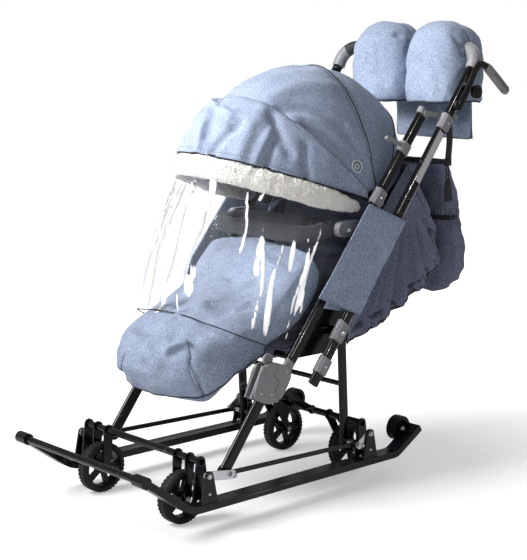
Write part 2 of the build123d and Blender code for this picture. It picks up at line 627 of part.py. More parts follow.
def mitten(x0, x1, long_from=None):
    """A hand muff round the push bar: closed top, open below, with an inner pocket."""
    y, z = GRIP_BAR
    body = plate([(y + dy, z + dz) for dy, dz in MITTEN_OUTLINE], x0, x1)
    if long_from is not None:
        low = z + MITTEN_LONG_DROP
        tail = plate([(y + 15, z - 100), (y + MITTEN_REAR, z - 100), (y + MITTEN_REAR - 8, low),
                      (y + 22, low)], long_from, x1)
        body = body.fuse(tail).clean()
    pocket = plate([(y - MITTEN_POCKET, z - 200), (y + MITTEN_POCKET, z - 200),
                    (y + MITTEN_POCKET, z - GRIP_R - 4), (y - MITTEN_POCKET, z - GRIP_R - 4)],
                   x0 + MITTEN_PAD, x1 - MITTEN_PAD)
    return body.cut(pocket, grip(GRIP_R + SOFT_GAP)).solid()


def grip_lever():
    """The small folding lever on the left handle tube: bosses, arm and grip."""
    tube_face = HANDLE_X + TUBE_WIDE / 2
    face = HANDLE_X + GRIP_R + FACE_GAP
    arm = strip(on_handle(LEVER_FROM), LEVER_KNEE, 9, face, face + 6)
    bosses = [cross_bar(*on_handle(s), tube_face, face + 8, 13) for s in (LEVER_FROM, LEVER_FROM + 58)]
    x = face + 6
    bar = rod(at(*LEVER_KNEE, x), at(*LEVER_TIP, x), 9)
    return arm.fuse(*bosses).fuse(bar).solid()


# ================================================================= soft goods
def arch_points(pivot, angle, reach, half, square, low, drop=0.0):
    """Points of an arch over the seat: a squared ellipse in a plane through the pivot line."""
    a = math.radians(angle)
    points = []
    for i in range(ARCH_STEPS + 1):
        t = math.radians(low + (180 - 2 * low) * i / ARCH_STEPS)
        c, s = math.cos(t), math.sin(t)
        x = half * math.copysign(abs(c) ** (2 / square), c)
        r = reach * s ** (2 / square)
        points.append(at(pivot[0] - r * math.cos(a) - drop * math.sin(a),
                         pivot[1] + r * math.sin(a) - drop * math.cos(a), x))
    return points


def arch_wire(pivot, angle, reach, half, square, low, thick, drop=0.0):
    """The closed outline of an arch of some thickness."""
    outer = arch_points(pivot, angle, reach, half, square, low, drop)
    inner = arch_points(pivot, angle, reach - thick, half - thick, square, low, drop)
    return Wire([Spline(*outer), Line(outer[-1], inner[-1]), Spline(*inner), Line(inner[0], outer[0])])


def between(a, b, t):
    """A bow part of the way between two bows."""
    return tuple(p + (q - p) * t for p, q in zip(a, b))


def canopy_panel(first, last, layer, low, steps=3):
    """A canopy panel between two bows; each layer lies inside the one in front of it."""
    wires = []
    for i in range(steps + 1):
        reach, angle, square = between(first, last, i / steps)
        wires.append(arch_wire(CANOPY_AXIS, angle, reach - layer * NEST, PANEL_HALF[layer], square, low,
                               CANOPY_SKIN))
    return Solid.make_loft(wires, ruled=True)


def bow(shape, layer):
    """A flat bow under its panel's front edge, with an eye on the pivot pin at each end."""
    reach, angle, square = shape
    inset = layer * NEST + CANOPY_SKIN + BOW_SINK
    a = math.radians(angle)
    normal = Vector(0, math.sin(a), math.cos(a))
    half = BOW_HALF[layer]
    wire = arch_wire(CANOPY_AXIS, angle, reach - inset, half, square, BOW_LOW, BOW_THICK, BOW_WIDE / 2)
    body = Solid.extrude(Face(wire), normal * BOW_WIDE)
    tab_end = (CANOPY_AXIS[0] - BOW_TAB * math.cos(a), CANOPY_AXIS[1] + BOW_TAB * math.sin(a))
    for x0 in (half - BOW_THICK, -half):
        tab = strip(CANOPY_AXIS, tab_end, BOW_WIDE / 2, x0, x0 + BOW_THICK)
        eye = cross_bar(*CANOPY_AXIS, x0, x0 + BOW_THICK, CANOPY_PIN_R + 5)
        body = body.fuse(tab.fuse(eye))
    bore = CANOPY_PIN_R + (PIN_GAP if layer < 2 else 0)
    return body.cut(cross_bar(*CANOPY_AXIS, -half - 1, half + 1, bore)).solid()


def fleece():
    """The fleece roll under the canopy's front rim."""
    reach, angle, square = BOW_RIM
    inset = CANOPY_SKIN + FACE_GAP
    a = math.radians(angle)
    drop = BOW_WIDE / 2 + SOFT_GAP
    wire = arch_wire(CANOPY_AXIS, angle, reach - inset, BOW_HALF[0], square, FLEECE_LOW, FLEECE_THICK, drop)
    return Solid.extrude(Face(wire), Vector(0, -math.sin(a), -math.cos(a)) * FLEECE_TALL)


def film():
    """The clear wind film from the fleece roll down over the foot muff."""
    reach, angle, square = BOW_RIM
    drop = BOW_WIDE / 2 + 2 * SOFT_GAP + FLEECE_TALL
    top = arch_wire(CANOPY_AXIS, angle, reach - 6, BOW_HALF[0] - 1, square, FILM_LOW, FILM_THICK, drop)
    low_reach, low_angle, low_square = FILM_HEM
    hem = arch_wire(FILM_HEM_AXIS, low_angle, low_reach, FILM_HALF, low_square, FILM_HEM_LOW, FILM_THICK)
    return Solid.make_loft([top, hem], ruled=True)


def foot_muff():
    """The padded foot muff, hollow and open towards the seat."""
    outer = plate(MUFF_OUTLINE, -SEAT_HALF, SEAT_HALF)
    inner = plate(MUFF_POCKET, -SEAT_HALF + MUFF_PAD, SEAT_HALF - MUFF_PAD)
    return outer.cut(inner).solid()


def seat_pan():
    """The seat: a padded pan bored for its two tubes, with ears for the backrest's pins."""
    y0, y1 = SEAT_FRONT, SEAT_REAR
    z0, z1 = SEAT_LOW, SEAT_LOW + SEAT_THICK
    body = plate([(y0, z0), (y1, z0), (y1, z1), (y0, z1)], -SEAT_HALF, SEAT_HALF)
    for y, z in (on_main(SEAT_TUBE_AT), SEAT_ROD):
        body = body.cut(cross_bar(y, z, -SEAT_HALF - 1, SEAT_HALF + 1, SEAT_TUBE_R))
    for side in (-1, 1):
        near, far = SEAT_HALF * side, (SEAT_HALF + 6) * side
        ear = strip((y1 - 18, z0 + 12), BACK_HINGE, 10, min(near, far), max(near, far))
        pin_in = (SEAT_HALF - 30) * side
        ear = ear.fuse(cross_bar(*BACK_HINGE, min(pin_in, far), max(pin_in, far), BACK_PIN_R))
        body = body.fuse(ear)
    return body.solid()


def backrest():
    """The padded backrest, round at its foot about the recline pins."""
    top = along(BACK_HINGE, BACK_ANGLE, BACK_LENGTH)
    a = math.radians(BACK_ANGLE)
    n = (math.sin(a) * BACK_THICK / 2, -math.cos(a) * BACK_THICK / 2)
    half = SEAT_HALF - SOFT_GAP
    body = plate([(BACK_HINGE[0] + n[0], BACK_HINGE[1] + n[1]), (top[0] + n[0], top[1] + n[1]),
                  (top[0] - n[0], top[1] - n[1]), (BACK_HINGE[0] - n[0], BACK_HINGE[1] - n[1])],
                 -half, half)
    body = body.fuse(cross_bar(*BACK_HINGE, -half, half, BACK_THICK / 2))
    for side in (-1, 1):
        inner, outer = side * (SEAT_HALF - 32), side * (SEAT_HALF + 1)
        body = body.cut(cross_bar(*BACK_HINGE, min(inner, outer), max(inner, outer), BACK_PIN_R + PIN_GAP))
    return body.solid()


def back_skirt():
    """The hanging back of the seat: side walls, bottom and rear wall, open towards the seat."""
    outer = plate(SKIRT_OUTLINE, -SKIRT_HALF, SKIRT_HALF)
    inner = plate(SKIRT_POCKET, -SKIRT_HALF + SKIRT_SKIN, SKIRT_HALF - SKIRT_SKIN)
    return outer.cut(inner).solid()


def rear_bag():
    """The bag behind the seat, open at the top."""
    y0 = max(y for y, z in SKIRT_OUTLINE) + SOFT_GAP
    outer = plate([(y0, BAG_LOW), (y0 + BAG_DEEP, BAG_LOW + 14), (y0 + BAG_DEEP, BAG_TOP - 10),
                   (y0, BAG_TOP)], -BAG_HALF, BAG_HALF)
    s = BAG_SKIN
    inner = plate([(y0 + s, BAG_LOW + s + 3), (y0 + BAG_DEEP - s, BAG_LOW + 17 + s),
                   (y0 + BAG_DEEP - s, BAG_TOP + 10), (y0 + s, BAG_TOP + 10)], -BAG_HALF + s, BAG_HALF - s)
    return outer.cut(inner).solid()


def side_sleeve():
    """The fabric sleeve round the rear of main and handle tube: a channel open to the front."""
    x_in = FRAME_X + TUBE_WIDE / 2 + SOFT_GAP
    x_out = HANDLE_X + TUBE_WIDE / 2 + SIDE_GAP
    t = SLEEVE_SKIN
    s0, s1 = SLEEVE_SPAN
    h0, h1 = s0 - SLEEVE_STEP, s1 - SLEEVE_STEP
    rear = TUBE_DEEP / 2 + SIDE_GAP
    side = [on_main(s0, -SLEEVE_AHEAD), on_main(s1, -SLEEVE_AHEAD),
            on_handle(h1, rear + t), on_handle(h0, rear + t)]
    outer = plate(side, x_out, x_out + t)
    inner = plate([on_main(s0, 0), on_main(s1, 0), side[2], side[3]], x_in, x_in + t)
    back = plate([on_handle(h0, rear), on_handle(h1, rear), side[2], side[3]], x_in, x_out)
    return outer.fuse(back, inner).solid()


def bag_strap():
    """The webbing that hangs from the upper sleeve of the left handle tube, beside the bag."""
    out = TUBE_DEEP / 2 + CLAMP_WALL
    top = sum(HANDLE_SLEEVES[2])
    y0, z0 = on_handle(top - STRAP_SEWN, out)
    y1, z1 = on_handle(top, out)
    edge = y1 - STRAP_WIDE
    return plate([(y0, z0), (y1, z1), (y1, STRAP_LOW), (edge, STRAP_LOW), (edge, z0 - STRAP_WIDE)],
                 HANDLE_X - STRAP_THICK / 2, HANDLE_X + STRAP_THICK / 2)


# ================================================================= all nodes
os.makedirs("parts", exist_ok=True)

write_sides("runner", runner())
write("tip_bar", cross_bar(*tip_eye(), -RUNNER_X - RUNNER_WIDE / 2, RUNNER_X + RUNNER_WIDE / 2, TIP_BAR_R))
write("runner_brackets", both(bracket(FRONT_BOLT_Y, FRONT_TUBE_Y, FRONT_TUBE_Z)),
      both(bracket(REAR_BOLT_Y, REAR_TUBE_Y, REAR_TUBE_Z)))
front_pin_end = FRAME_X - TUBE_WIDE / 2 - 4
rear_pin_end = REAR_LEG_X - LEG_WIDE / 2 - 4
write("link_plates", both(link((FRONT_BOLT_Y, BRACKET_BOLT_Z), FRONT_FOOT, front_pin_end)),
      both(link((REAR_BOLT_Y, BRACKET_BOLT_Z), REAR_FOOT, rear_pin_end)))
write("tie_bars", both(tie_bar()))
write("roller_brackets", both(roller_bracket()))
write_sides("roller", roller())

write("front_cross_tube", cross_tube(FRONT_TUBE_Y, FRONT_TUBE_Z))
write("front_forks", both(forks(FRONT_TUBE_Y, FRONT_TUBE_Z, FRONT_WHEEL_X, FRONT_WHEEL_Y)))
write("rear_cross_tube", cross_tube(REAR_TUBE_Y, REAR_TUBE_Z))
write("rear_forks", both(forks(REAR_TUBE_Y, REAR_TUBE_Z, REAR_WHEEL_X, REAR_WHEEL_Y)))
write("lift_pedal", pedal())
for end, x, y in (("front", FRONT_WHEEL_X, FRONT_WHEEL_Y), ("rear", REAR_WHEEL_X, REAR_WHEEL_Y)):
    write_sides(f"tyre_{end}", tyre(x, y))
    write_sides(f"rim_{end}", rim(x, y))

write_sides("front_leg", front_leg())
write("lower_housings", both(lower_housing()))
write_sides("rear_leg", rear_leg())
leg_face = REAR_LEG_X - LEG_WIDE / 2
write("rear_leg_rod", cross_bar(*REAR_ROD, -leg_face, leg_face, REAR_ROD_R))

write_sides("main_tube", main_tube())
write("upper_housings", both(upper_housing()))
write("side_plates", both(side_plate()))
write("frame_rods", frame_rods())
write("top_catches", both(top_catch()))
write("frame_fittings", both(canopy_clamp()), both(hook()), both(bumper_end()))
write("bumper_bar", bumper())
write("seat_pan", seat_pan())
write("backrest", backrest())
write("foot_muff", foot_muff())
write_sides("side_sleeve", side_sleeve())
write("back_skirt", back_skirt())
write("rear_bag", rear_bag())

write("visor_bow", bow(BOW_RIM, 0))
write("hood_bow", bow(BOW_MID, 1))
write("back_bow", bow(BOW_REAR, 2))
write("canopy_front", canopy_panel(BOW_RIM, BOW_MID, 0, PANEL_LOW))
write("canopy_middle", canopy_panel(BOW_MID, BOW_REAR, 1, PANEL_LOW))
write("canopy_rear", canopy_panel(BOW_REAR, BOW_BACK, 2, PANEL_LOW))
write("fleece_trim", fleece())
write("rain_film", film())

write_sides("handle_tube", handle_tube())
sleeves_left = handle_clamps()
write("handle_clamps", *[both(s) for s in sleeves_left])
write("handle_grip", grip(GRIP_R))
write("mitten_left", mitten(MITTEN_SPLIT + 2, MITTEN_LEFT, MITTEN_LONG_FROM))
write("mitten_right", mitten(MITTEN_RIGHT, MITTEN_SPLIT - 2))
write("grip_lever", grip_lever())
write("bag_strap", bag_strap())
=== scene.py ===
"""Looks of a folding sled stroller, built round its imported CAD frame."""
import json
import logging
import math
from dataclasses import dataclass, field
from enum import Enum
from typing import Callable, Iterable, Sequence

import bmesh
import bpy
import numpy as np
from mathutils import Matrix, Vector, noise
from mathutils.bvhtree import BVHTree


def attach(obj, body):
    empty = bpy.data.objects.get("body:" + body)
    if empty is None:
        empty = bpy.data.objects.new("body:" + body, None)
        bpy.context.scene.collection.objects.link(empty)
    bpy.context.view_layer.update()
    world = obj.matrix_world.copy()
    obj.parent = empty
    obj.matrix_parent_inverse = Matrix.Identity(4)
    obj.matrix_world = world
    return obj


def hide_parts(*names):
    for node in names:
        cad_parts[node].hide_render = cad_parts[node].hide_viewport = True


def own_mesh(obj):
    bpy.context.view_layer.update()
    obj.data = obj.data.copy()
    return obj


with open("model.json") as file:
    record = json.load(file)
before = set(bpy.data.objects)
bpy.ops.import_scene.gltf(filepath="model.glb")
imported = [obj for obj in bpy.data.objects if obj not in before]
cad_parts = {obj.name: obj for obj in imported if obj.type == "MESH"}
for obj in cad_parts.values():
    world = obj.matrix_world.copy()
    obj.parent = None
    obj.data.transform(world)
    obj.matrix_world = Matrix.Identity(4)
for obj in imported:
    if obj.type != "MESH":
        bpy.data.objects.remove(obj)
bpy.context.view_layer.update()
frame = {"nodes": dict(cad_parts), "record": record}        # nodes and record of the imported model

LOG = logging.getLogger("stroller")
Colour = tuple[float, float, float]
Socket = bpy.types.NodeSocket
Line = list[Vector]
PIVOT = Vector((0.0, 0.165, 0.650))          # where the canopy bows turn
MAIN_FOOT = Vector((0.0, -0.1365, 0.311))    # a point on the main tubes' middle line
HANDLE_PIVOT = Vector((0.0, -0.0005, 0.374))
GRIP_BAR = Vector((0.0, 0.4625, 1.003))
MAIN_WAY = Vector((0.0, math.cos(math.radians(51.5)), math.sin(math.radians(51.5))))
HANDLE_WAY = Vector((0.0, math.cos(math.radians(52.8)), math.sin(math.radians(52.8))))
TUBE_X, HANDLE_X = 0.200, 0.224              # the tubes' middle planes
WHEEL_HEIGHT = 0.0575                        # the wheels' radius, and their axles' height
WHEELS = (("wheel_front", "front_axle", 0.146, -0.395), ("wheel_rear", "rear_axle", 0.115, 0.144))
ROLLER = Vector((0.183, 0.246, 0.098))       # the left roller's middle
ACROSS, BACK, UP = Vector((1, 0, 0)), Vector((0, 1, 0)), Vector((0, 0, 1))


class Side(Enum):
    """The two sides of the stroller, by the sign of X."""

    LEFT = 1
    RIGHT = -1

    @property
    def label(self) -> str:
        """The side's name in piece names."""
        return self.name.lower()


class Ends(Enum):
    """How a surface made of rows ends at its first and last rows."""

    OPEN = "open"
    CLOSED = "closed"


# ---------------------------------------------------------------- node building
class Nodes:
    """Adds and links nodes in one node tree."""

    def __init__(self, tree: bpy.types.NodeTree) -> None:
        """Keeps the tree that the nodes go in."""
        self.tree = tree

    def feed(self, socket: Socket, value: object) -> None:
        """Links a socket into an input, or sets the input to a plain value."""
        if isinstance(value, bpy.types.NodeSocket):
            self.tree.links.new(value, socket)
        else:
            socket.default_value = value

    def add(self, kind: str, props: dict | None = None, args: Sequence = (),
            **named: object) -> bpy.types.Node:
        """Adds one node.

        Args:
            kind: the node's type name.
            props: attributes to set on the node.
            args: inputs by place; None leaves one as it is.
            named: inputs by name, with _ for a space.

        Returns:
            The node.
        """
        node = self.tree.nodes.new(kind)
        for key, value in (props or {}).items():
            setattr(node, key, value)
        for index, value in enumerate(args):
            if value is not None:
                self.feed(node.inputs[index], value)
        for key, value in named.items():
            self.feed(node.inputs[key.replace("_", " ")], value)
        return node

    def math(self, operation: str, *args: object) -> Socket:
        """A Math node's result."""
        return self.add("ShaderNodeMath", {"operation": operation}, args).outputs[0]

    def mix(self, factor: object, a: object, b: object, blend: str = "MIX") -> Socket:
        """A colour mix of a and b."""
        node = self.add("ShaderNodeMix", {"data_type": "RGBA", "blend_type": blend})
        for index, value in ((0, factor), (6, a), (7, b)):
            self.feed(node.inputs[index], value)
        return node.outputs[2]

    def noise(self, scale: float, detail: float = 2.0,
              stretch: Sequence[float] = (1, 1, 1)) -> Socket:
        """Noise over Object coordinates, stretched by a mapping."""
        place = self.add("ShaderNodeTexCoord").outputs["Object"]
        mapping = self.add("ShaderNodeMapping", args=(place,), Scale=tuple(stretch))
        return self.add("ShaderNodeTexNoise", args=(mapping.outputs[0],), Scale=scale,
                        Detail=detail).outputs[0]

    def band(self, value: object, low: float, high: float, out_low: float = 0.0,
             out_high: float = 1.0) -> Socket:
        """A value moved from one range to another, and held inside it."""
        return self.add("ShaderNodeMapRange", {"clamp": True},
                        (value, low, high, out_low, out_high)).outputs[0]


def rgba(colour: Colour) -> tuple[float, float, float, float]:
    """A colour with full alpha."""
    return (*colour, 1.0)


def new_group(name: str, kind: str, inputs: Sequence[tuple],
              outputs: Sequence[tuple]) -> bpy.types.NodeTree:
    """Makes a node group with its sockets.

    Args:
        name: the group's name.
        kind: ShaderNodeTree or GeometryNodeTree.
        inputs: (name, socket type, default or None) of each input.
        outputs: (name, socket type) of each output.

    Returns:
        The empty group.
    """
    tree = bpy.data.node_groups.new(name, kind)
    for label, socket_type, default in inputs:
        socket = tree.interface.new_socket(name=label, in_out="INPUT", socket_type=socket_type)
        if default is not None:
            socket.default_value = default
    for label, socket_type in outputs:
        tree.interface.new_socket(name=label, in_out="OUTPUT", socket_type=socket_type)
    return tree


class Effects:
    """The shader node groups that several finishes use, each built once."""

    def __init__(self) -> None:
        """Builds every group."""
        self.weave = self.build_weave()
        self.grain = self.build_grain()
        self.crumple = self.build_crumple()

    @staticmethod
    def build_weave() -> bpy.types.NodeTree:
        """Heather cloth: pale and dark threads in three directions, with slubs."""
        tree = new_group("Heather weave", "ShaderNodeTree",
                         [("Light", "NodeSocketColor", None), ("Dark", "NodeSocketColor", None),
                          ("Thread", "NodeSocketFloat", 1.0), ("Contrast", "NodeSocketFloat", 1.0)],
                         [("Color", "NodeSocketColor"), ("Height", "NodeSocketFloat"),
                          ("Roughness", "NodeSocketFloat")])
        n = Nodes(tree)
        given = n.add("NodeGroupInput")
        place = n.add("ShaderNodeTexCoord").outputs["Object"]
        sized = n.add("ShaderNodeVectorMath", {"operation": "SCALE"}, (place,))
        n.feed(sized.inputs["Scale"], given.outputs["Thread"])
        total: object = 0.0
        fine: object = 0.0
        for stretch in ((150, 900, 900), (900, 150, 900), (900, 900, 150)):
            mapping = n.add("ShaderNodeMapping", args=(sized.outputs[0],), Scale=stretch)
            streak = n.add("ShaderNodeTexNoise", args=(mapping.outputs[0],), Scale=1.0,
                           Detail=1.5).outputs[0]
            total = n.math("ADD", total, streak)
            small = n.add("ShaderNodeTexNoise", args=(mapping.outputs[0],), Scale=3.1,
                          Detail=0.5).outputs[0]
            fine = n.math("ADD", fine, small)
        mean = n.math("DIVIDE", total, 3.0)
        spread = n.math("MULTIPLY", n.math("SUBTRACT", mean, 0.5),
                        n.math("MULTIPLY", given.outputs["Contrast"], 4.8))
        broad = n.add("ShaderNodeTexNoise", args=(place,), Scale=7.0, Detail=3.0).outputs[0]
        tone = n.math("ADD", n.math("ADD", spread, 0.5),
                      n.math("MULTIPLY", n.math("SUBTRACT", broad, 0.5), 0.5))
        tone = n.band(tone, 0.0, 1.0)
        colour = n.mix(tone, given.outputs["Dark"], given.outputs["Light"])
        height = n.math("ADD", n.math("DIVIDE", fine, 3.0), n.math("MULTIPLY", mean, 0.6))
        rough = n.band(tone, 0.0, 1.0, 0.95, 0.82)
        n.add("NodeGroupOutput", args=(colour, height, rough))
        return tree

    @staticmethod
    def build_grain() -> bpy.types.NodeTree:
        """Moulded or painted surface: fine grain, soft smudges and faint scratches."""
        tree = new_group("Grain and smudge", "ShaderNodeTree",
                         [("Color", "NodeSocketColor", None), ("Scale", "NodeSocketFloat", 900.0),
                          ("Roughness", "NodeSocketFloat", 0.4),
                          ("Smudge", "NodeSocketFloat", 0.1)],
                         [("Color", "NodeSocketColor"), ("Height", "NodeSocketFloat"),
                          ("Roughness", "NodeSocketFloat")])
        n = Nodes(tree)
        given = n.add("NodeGroupInput")
        place = n.add("ShaderNodeTexCoord").outputs["Object"]
        grain = n.add("ShaderNodeTexNoise", args=(place,), Detail=1.0)
        n.feed(grain.inputs["Scale"], given.outputs["Scale"])
        broad = n.noise(18.0, 4.0)
        scratch = n.band(n.noise(60.0, 3.0, (1.0, 0.05, 1.0)), 0.66, 0.72)
        dust = n.band(n.noise(9.0, 5.0), 0.52, 0.78, 0.0, 0.35)
        worn = n.mix(n.math("MULTIPLY", scratch, 0.22), given.outputs["Color"],
                     (0.55, 0.56, 0.58, 1.0))
        lifted = n.mix(n.math("MULTIPLY", dust, given.outputs["Smudge"]), worn,
                       (0.62, 0.61, 0.60, 1.0))
        shift = n.math("MULTIPLY", n.math("SUBTRACT", broad, 0.5), given.outputs["Smudge"])
        rough = n.math("ADD", given.outputs["Roughness"], n.math("MULTIPLY", shift, 2.0))
        rough = n.math("ADD", rough, n.math("MULTIPLY", scratch, 0.12))
        n.add("NodeGroupOutput",
              args=(lifted, grain.outputs[0], n.band(rough, 0.03, 1.0, 0.03, 1.0)))
        return tree

    @staticmethod
    def build_crumple() -> bpy.types.NodeTree:
        """Small creases of handled cloth or film, as a height."""
        tree = new_group("Crumple", "ShaderNodeTree",
                         [("Scale", "NodeSocketFloat", 20.0),
                          ("Sharpness", "NodeSocketFloat", 0.5)],
                         [("Height", "NodeSocketFloat")])
        n = Nodes(tree)
        given = n.add("NodeGroupInput")
        place = n.add("ShaderNodeTexCoord").outputs["Object"]
        warp = n.add("ShaderNodeTexNoise", args=(place,), Scale=6.0, Detail=2.0)
        bent = n.add("ShaderNodeVectorMath", {"operation": "MULTIPLY_ADD"},
                     (warp.outputs["Color"], (0.16,) * 3, place))
        cells = n.add("ShaderNodeTexVoronoi", {"feature": "DISTANCE_TO_EDGE"}, (bent.outputs[0],))
        n.feed(cells.inputs["Scale"], given.outputs["Scale"])
        edge = n.band(cells.outputs[0], 0.0, 0.32)
        soft = n.add("ShaderNodeTexNoise", args=(bent.outputs[0],), Detail=2.0)
        n.feed(soft.inputs["Scale"], given.outputs["Scale"])
        ridge = n.math("MULTIPLY", edge, given.outputs["Sharpness"])
        n.add("NodeGroupOutput", args=(n.math("ADD", ridge, soft.outputs[0]),))
        return tree

    @staticmethod
    def place(n: Nodes, group: bpy.types.NodeTree, **inputs: object) -> bpy.types.Node:
        """Places a group in a material, with its own values."""
        node = n.add("ShaderNodeGroup", {"node_tree": group})
        for key, value in inputs.items():
            n.feed(node.inputs[key], value)
        return node


# ---------------------------------------------------------------- finishes
@dataclass(frozen=True)
class Finish:
    """What every finish has: a name and a way to start its material."""

    name: str

    def start(self) -> tuple[bpy.types.Material, Nodes, bpy.types.Node]:
        """An empty material with its Principled shader joined to the output."""
        material = bpy.data.materials.new(self.name)
        material.use_nodes = True
        material.node_tree.nodes.clear()
        n = Nodes(material.node_tree)
        shader = n.add("ShaderNodeBsdfPrincipled")
        n.add("ShaderNodeOutputMaterial", args=(shader.outputs[0],))
        return material, n, shader


@dataclass(frozen=True)
class Cloth(Finish):
    """Woven heather cloth."""

    light: Colour
    dark: Colour
    thread: float = 1.0
    contrast: float = 1.0
    sheen: float = 0.12
    crumple: float = 0.0010

    def make(self, effects: Effects) -> bpy.types.Material:
        """Builds the material."""
        material, n, shader = self.start()
        weave = effects.place(n, effects.weave, Light=rgba(self.light), Dark=rgba(self.dark),
                              Thread=self.thread, Contrast=self.contrast)
        crumple = effects.place(n, effects.crumple, Scale=26.0, Sharpness=0.25)
        soft = n.add("ShaderNodeBump", Strength=0.55, Distance=self.crumple * 3,
                     Height=crumple.outputs[0])
        bump = n.add("ShaderNodeBump", Strength=0.6, Distance=0.0006,
                     Height=weave.outputs["Height"], Normal=soft.outputs[0])
        n.feed(shader.inputs["Base Color"], weave.outputs["Color"])
        n.feed(shader.inputs["Roughness"], weave.outputs["Roughness"])
        n.feed(shader.inputs["Normal"], bump.outputs[0])
        shader.inputs["Sheen Weight"].default_value = self.sheen
        shader.inputs["Sheen Roughness"].default_value = 0.5
        shader.inputs["Specular IOR Level"].default_value = 0.25
        return material


@dataclass(frozen=True)
class Hard(Finish):
    """Paint, moulded plastic, rubber or metal."""

    colour: Colour
    roughness: float = 0.4
    metallic: float = 0.0
    coat: float = 0.0
    grain: float = 900.0
    relief: float = 0.00015
    smudge: float = 0.08
    gloss: float = 0.45

    def make(self, effects: Effects) -> bpy.types.Material:
        """Builds the material."""
        material, n, shader = self.start()
        grain = effects.place(n, effects.grain, Color=rgba(self.colour), Scale=self.grain,
                              Roughness=self.roughness, Smudge=self.smudge)
        bump = n.add("ShaderNodeBump", Strength=0.35, Distance=self.relief,
                     Height=grain.outputs["Height"])
        n.feed(shader.inputs["Base Color"], grain.outputs["Color"])
        n.feed(shader.inputs["Roughness"], grain.outputs["Roughness"])
        n.feed(shader.inputs["Normal"], bump.outputs[0])
        shader.inputs["Metallic"].default_value = self.metallic
        shader.inputs["Specular IOR Level"].default_value = self.gloss
        shader.inputs["Coat Weight"].default_value = self.coat
        shader.inputs["Coat Roughness"].default_value = 0.12
        return material


@dataclass(frozen=True)
class Fleece(Finish):
    """Cream curly fleece."""

    light: Colour
    shade: Colour

    def make(self, effects: Effects) -> bpy.types.Material:
        """Builds the material."""
        material, n, shader = self.start()
        curl = n.noise(260.0, 3.0)
        clump = n.noise(70.0, 2.0)
        # the shade tone falls where the curls' height is low: painted shade between the curls
        tone = n.band(n.math("ADD", curl, clump), 0.75, 1.2)
        bump = n.add("ShaderNodeBump", Strength=0.9, Distance=0.003,
                     Height=n.math("ADD", curl, clump))
        n.feed(shader.inputs["Base Color"], n.mix(tone, rgba(self.shade), rgba(self.light)))
        n.feed(shader.inputs["Roughness"], n.band(curl, 0.3, 0.7, 1.0, 0.85))
        n.feed(shader.inputs["Normal"], bump.outputs[0])
        shader.inputs["Sheen Weight"].default_value = 0.4
        shader.inputs["Subsurface Weight"].default_value = 0.12
        shader.inputs["Subsurface Scale"].default_value = 0.01
        shader.inputs["Subsurface Radius"].default_value = (1.0, 0.9, 0.7)
        return material


@dataclass(frozen=True)
class Film(Finish):
    """Clear soft film with painted glare: white, faintly glowing streaks along its fold ridges and at glare spots.
    """

    clear: float = 0.022
    # how opaque the painted glare streaks are
    creased: float = 0.92

    def make(self, effects: Effects) -> bpy.types.Material:
        """Builds the material; a mesh attribute says where the painted glare goes, white and glowing."""
        material, n, shader = self.start()
        crease = n.add("ShaderNodeAttribute", {"attribute_name": "crease"}).outputs["Fac"]
        torn = n.noise(34.0, 4.0, (1.0, 1.0, 0.6))
        # painted glare: the mask, broken up by noise, makes the film white, less clear and faintly glowing
        glare_streaks = n.band(n.math("MULTIPLY", crease, n.band(torn, 0.34, 0.54)), 0.20, 0.36)
        crumple = effects.place(n, effects.crumple, Scale=14.0, Sharpness=0.8)
        haze = n.band(n.noise(11.0, 3.0), 0.35, 0.8, self.clear * 0.5, self.clear * 1.6)
        alpha = n.math("MAXIMUM", haze, n.math("MULTIPLY", glare_streaks, self.creased))
        bump = n.add("ShaderNodeBump", Strength=0.7, Distance=0.004, Height=crumple.outputs[0])
        n.feed(shader.inputs["Base Color"],
               n.mix(glare_streaks, (0.80, 0.83, 0.87, 1.0), (1.0, 1.0, 1.0, 1.0)))
        n.feed(shader.inputs["Roughness"], n.band(glare_streaks, 0.0, 1.0, 0.08, 0.35))
        n.feed(shader.inputs["Alpha"], alpha)
        n.feed(shader.inputs["Normal"], bump.outputs[0])
        n.feed(shader.inputs["Emission Color"], (1.0, 1.0, 1.0, 1.0))
        n.feed(shader.inputs["Emission Strength"], n.band(glare_streaks, 0.0, 1.0, 0.0, 0.30))
        shader.inputs["Specular IOR Level"].default_value = 0.8
        shader.inputs["Coat Weight"].default_value = 0.6
        shader.inputs["Coat Roughness"].default_value = 0.06
        return material


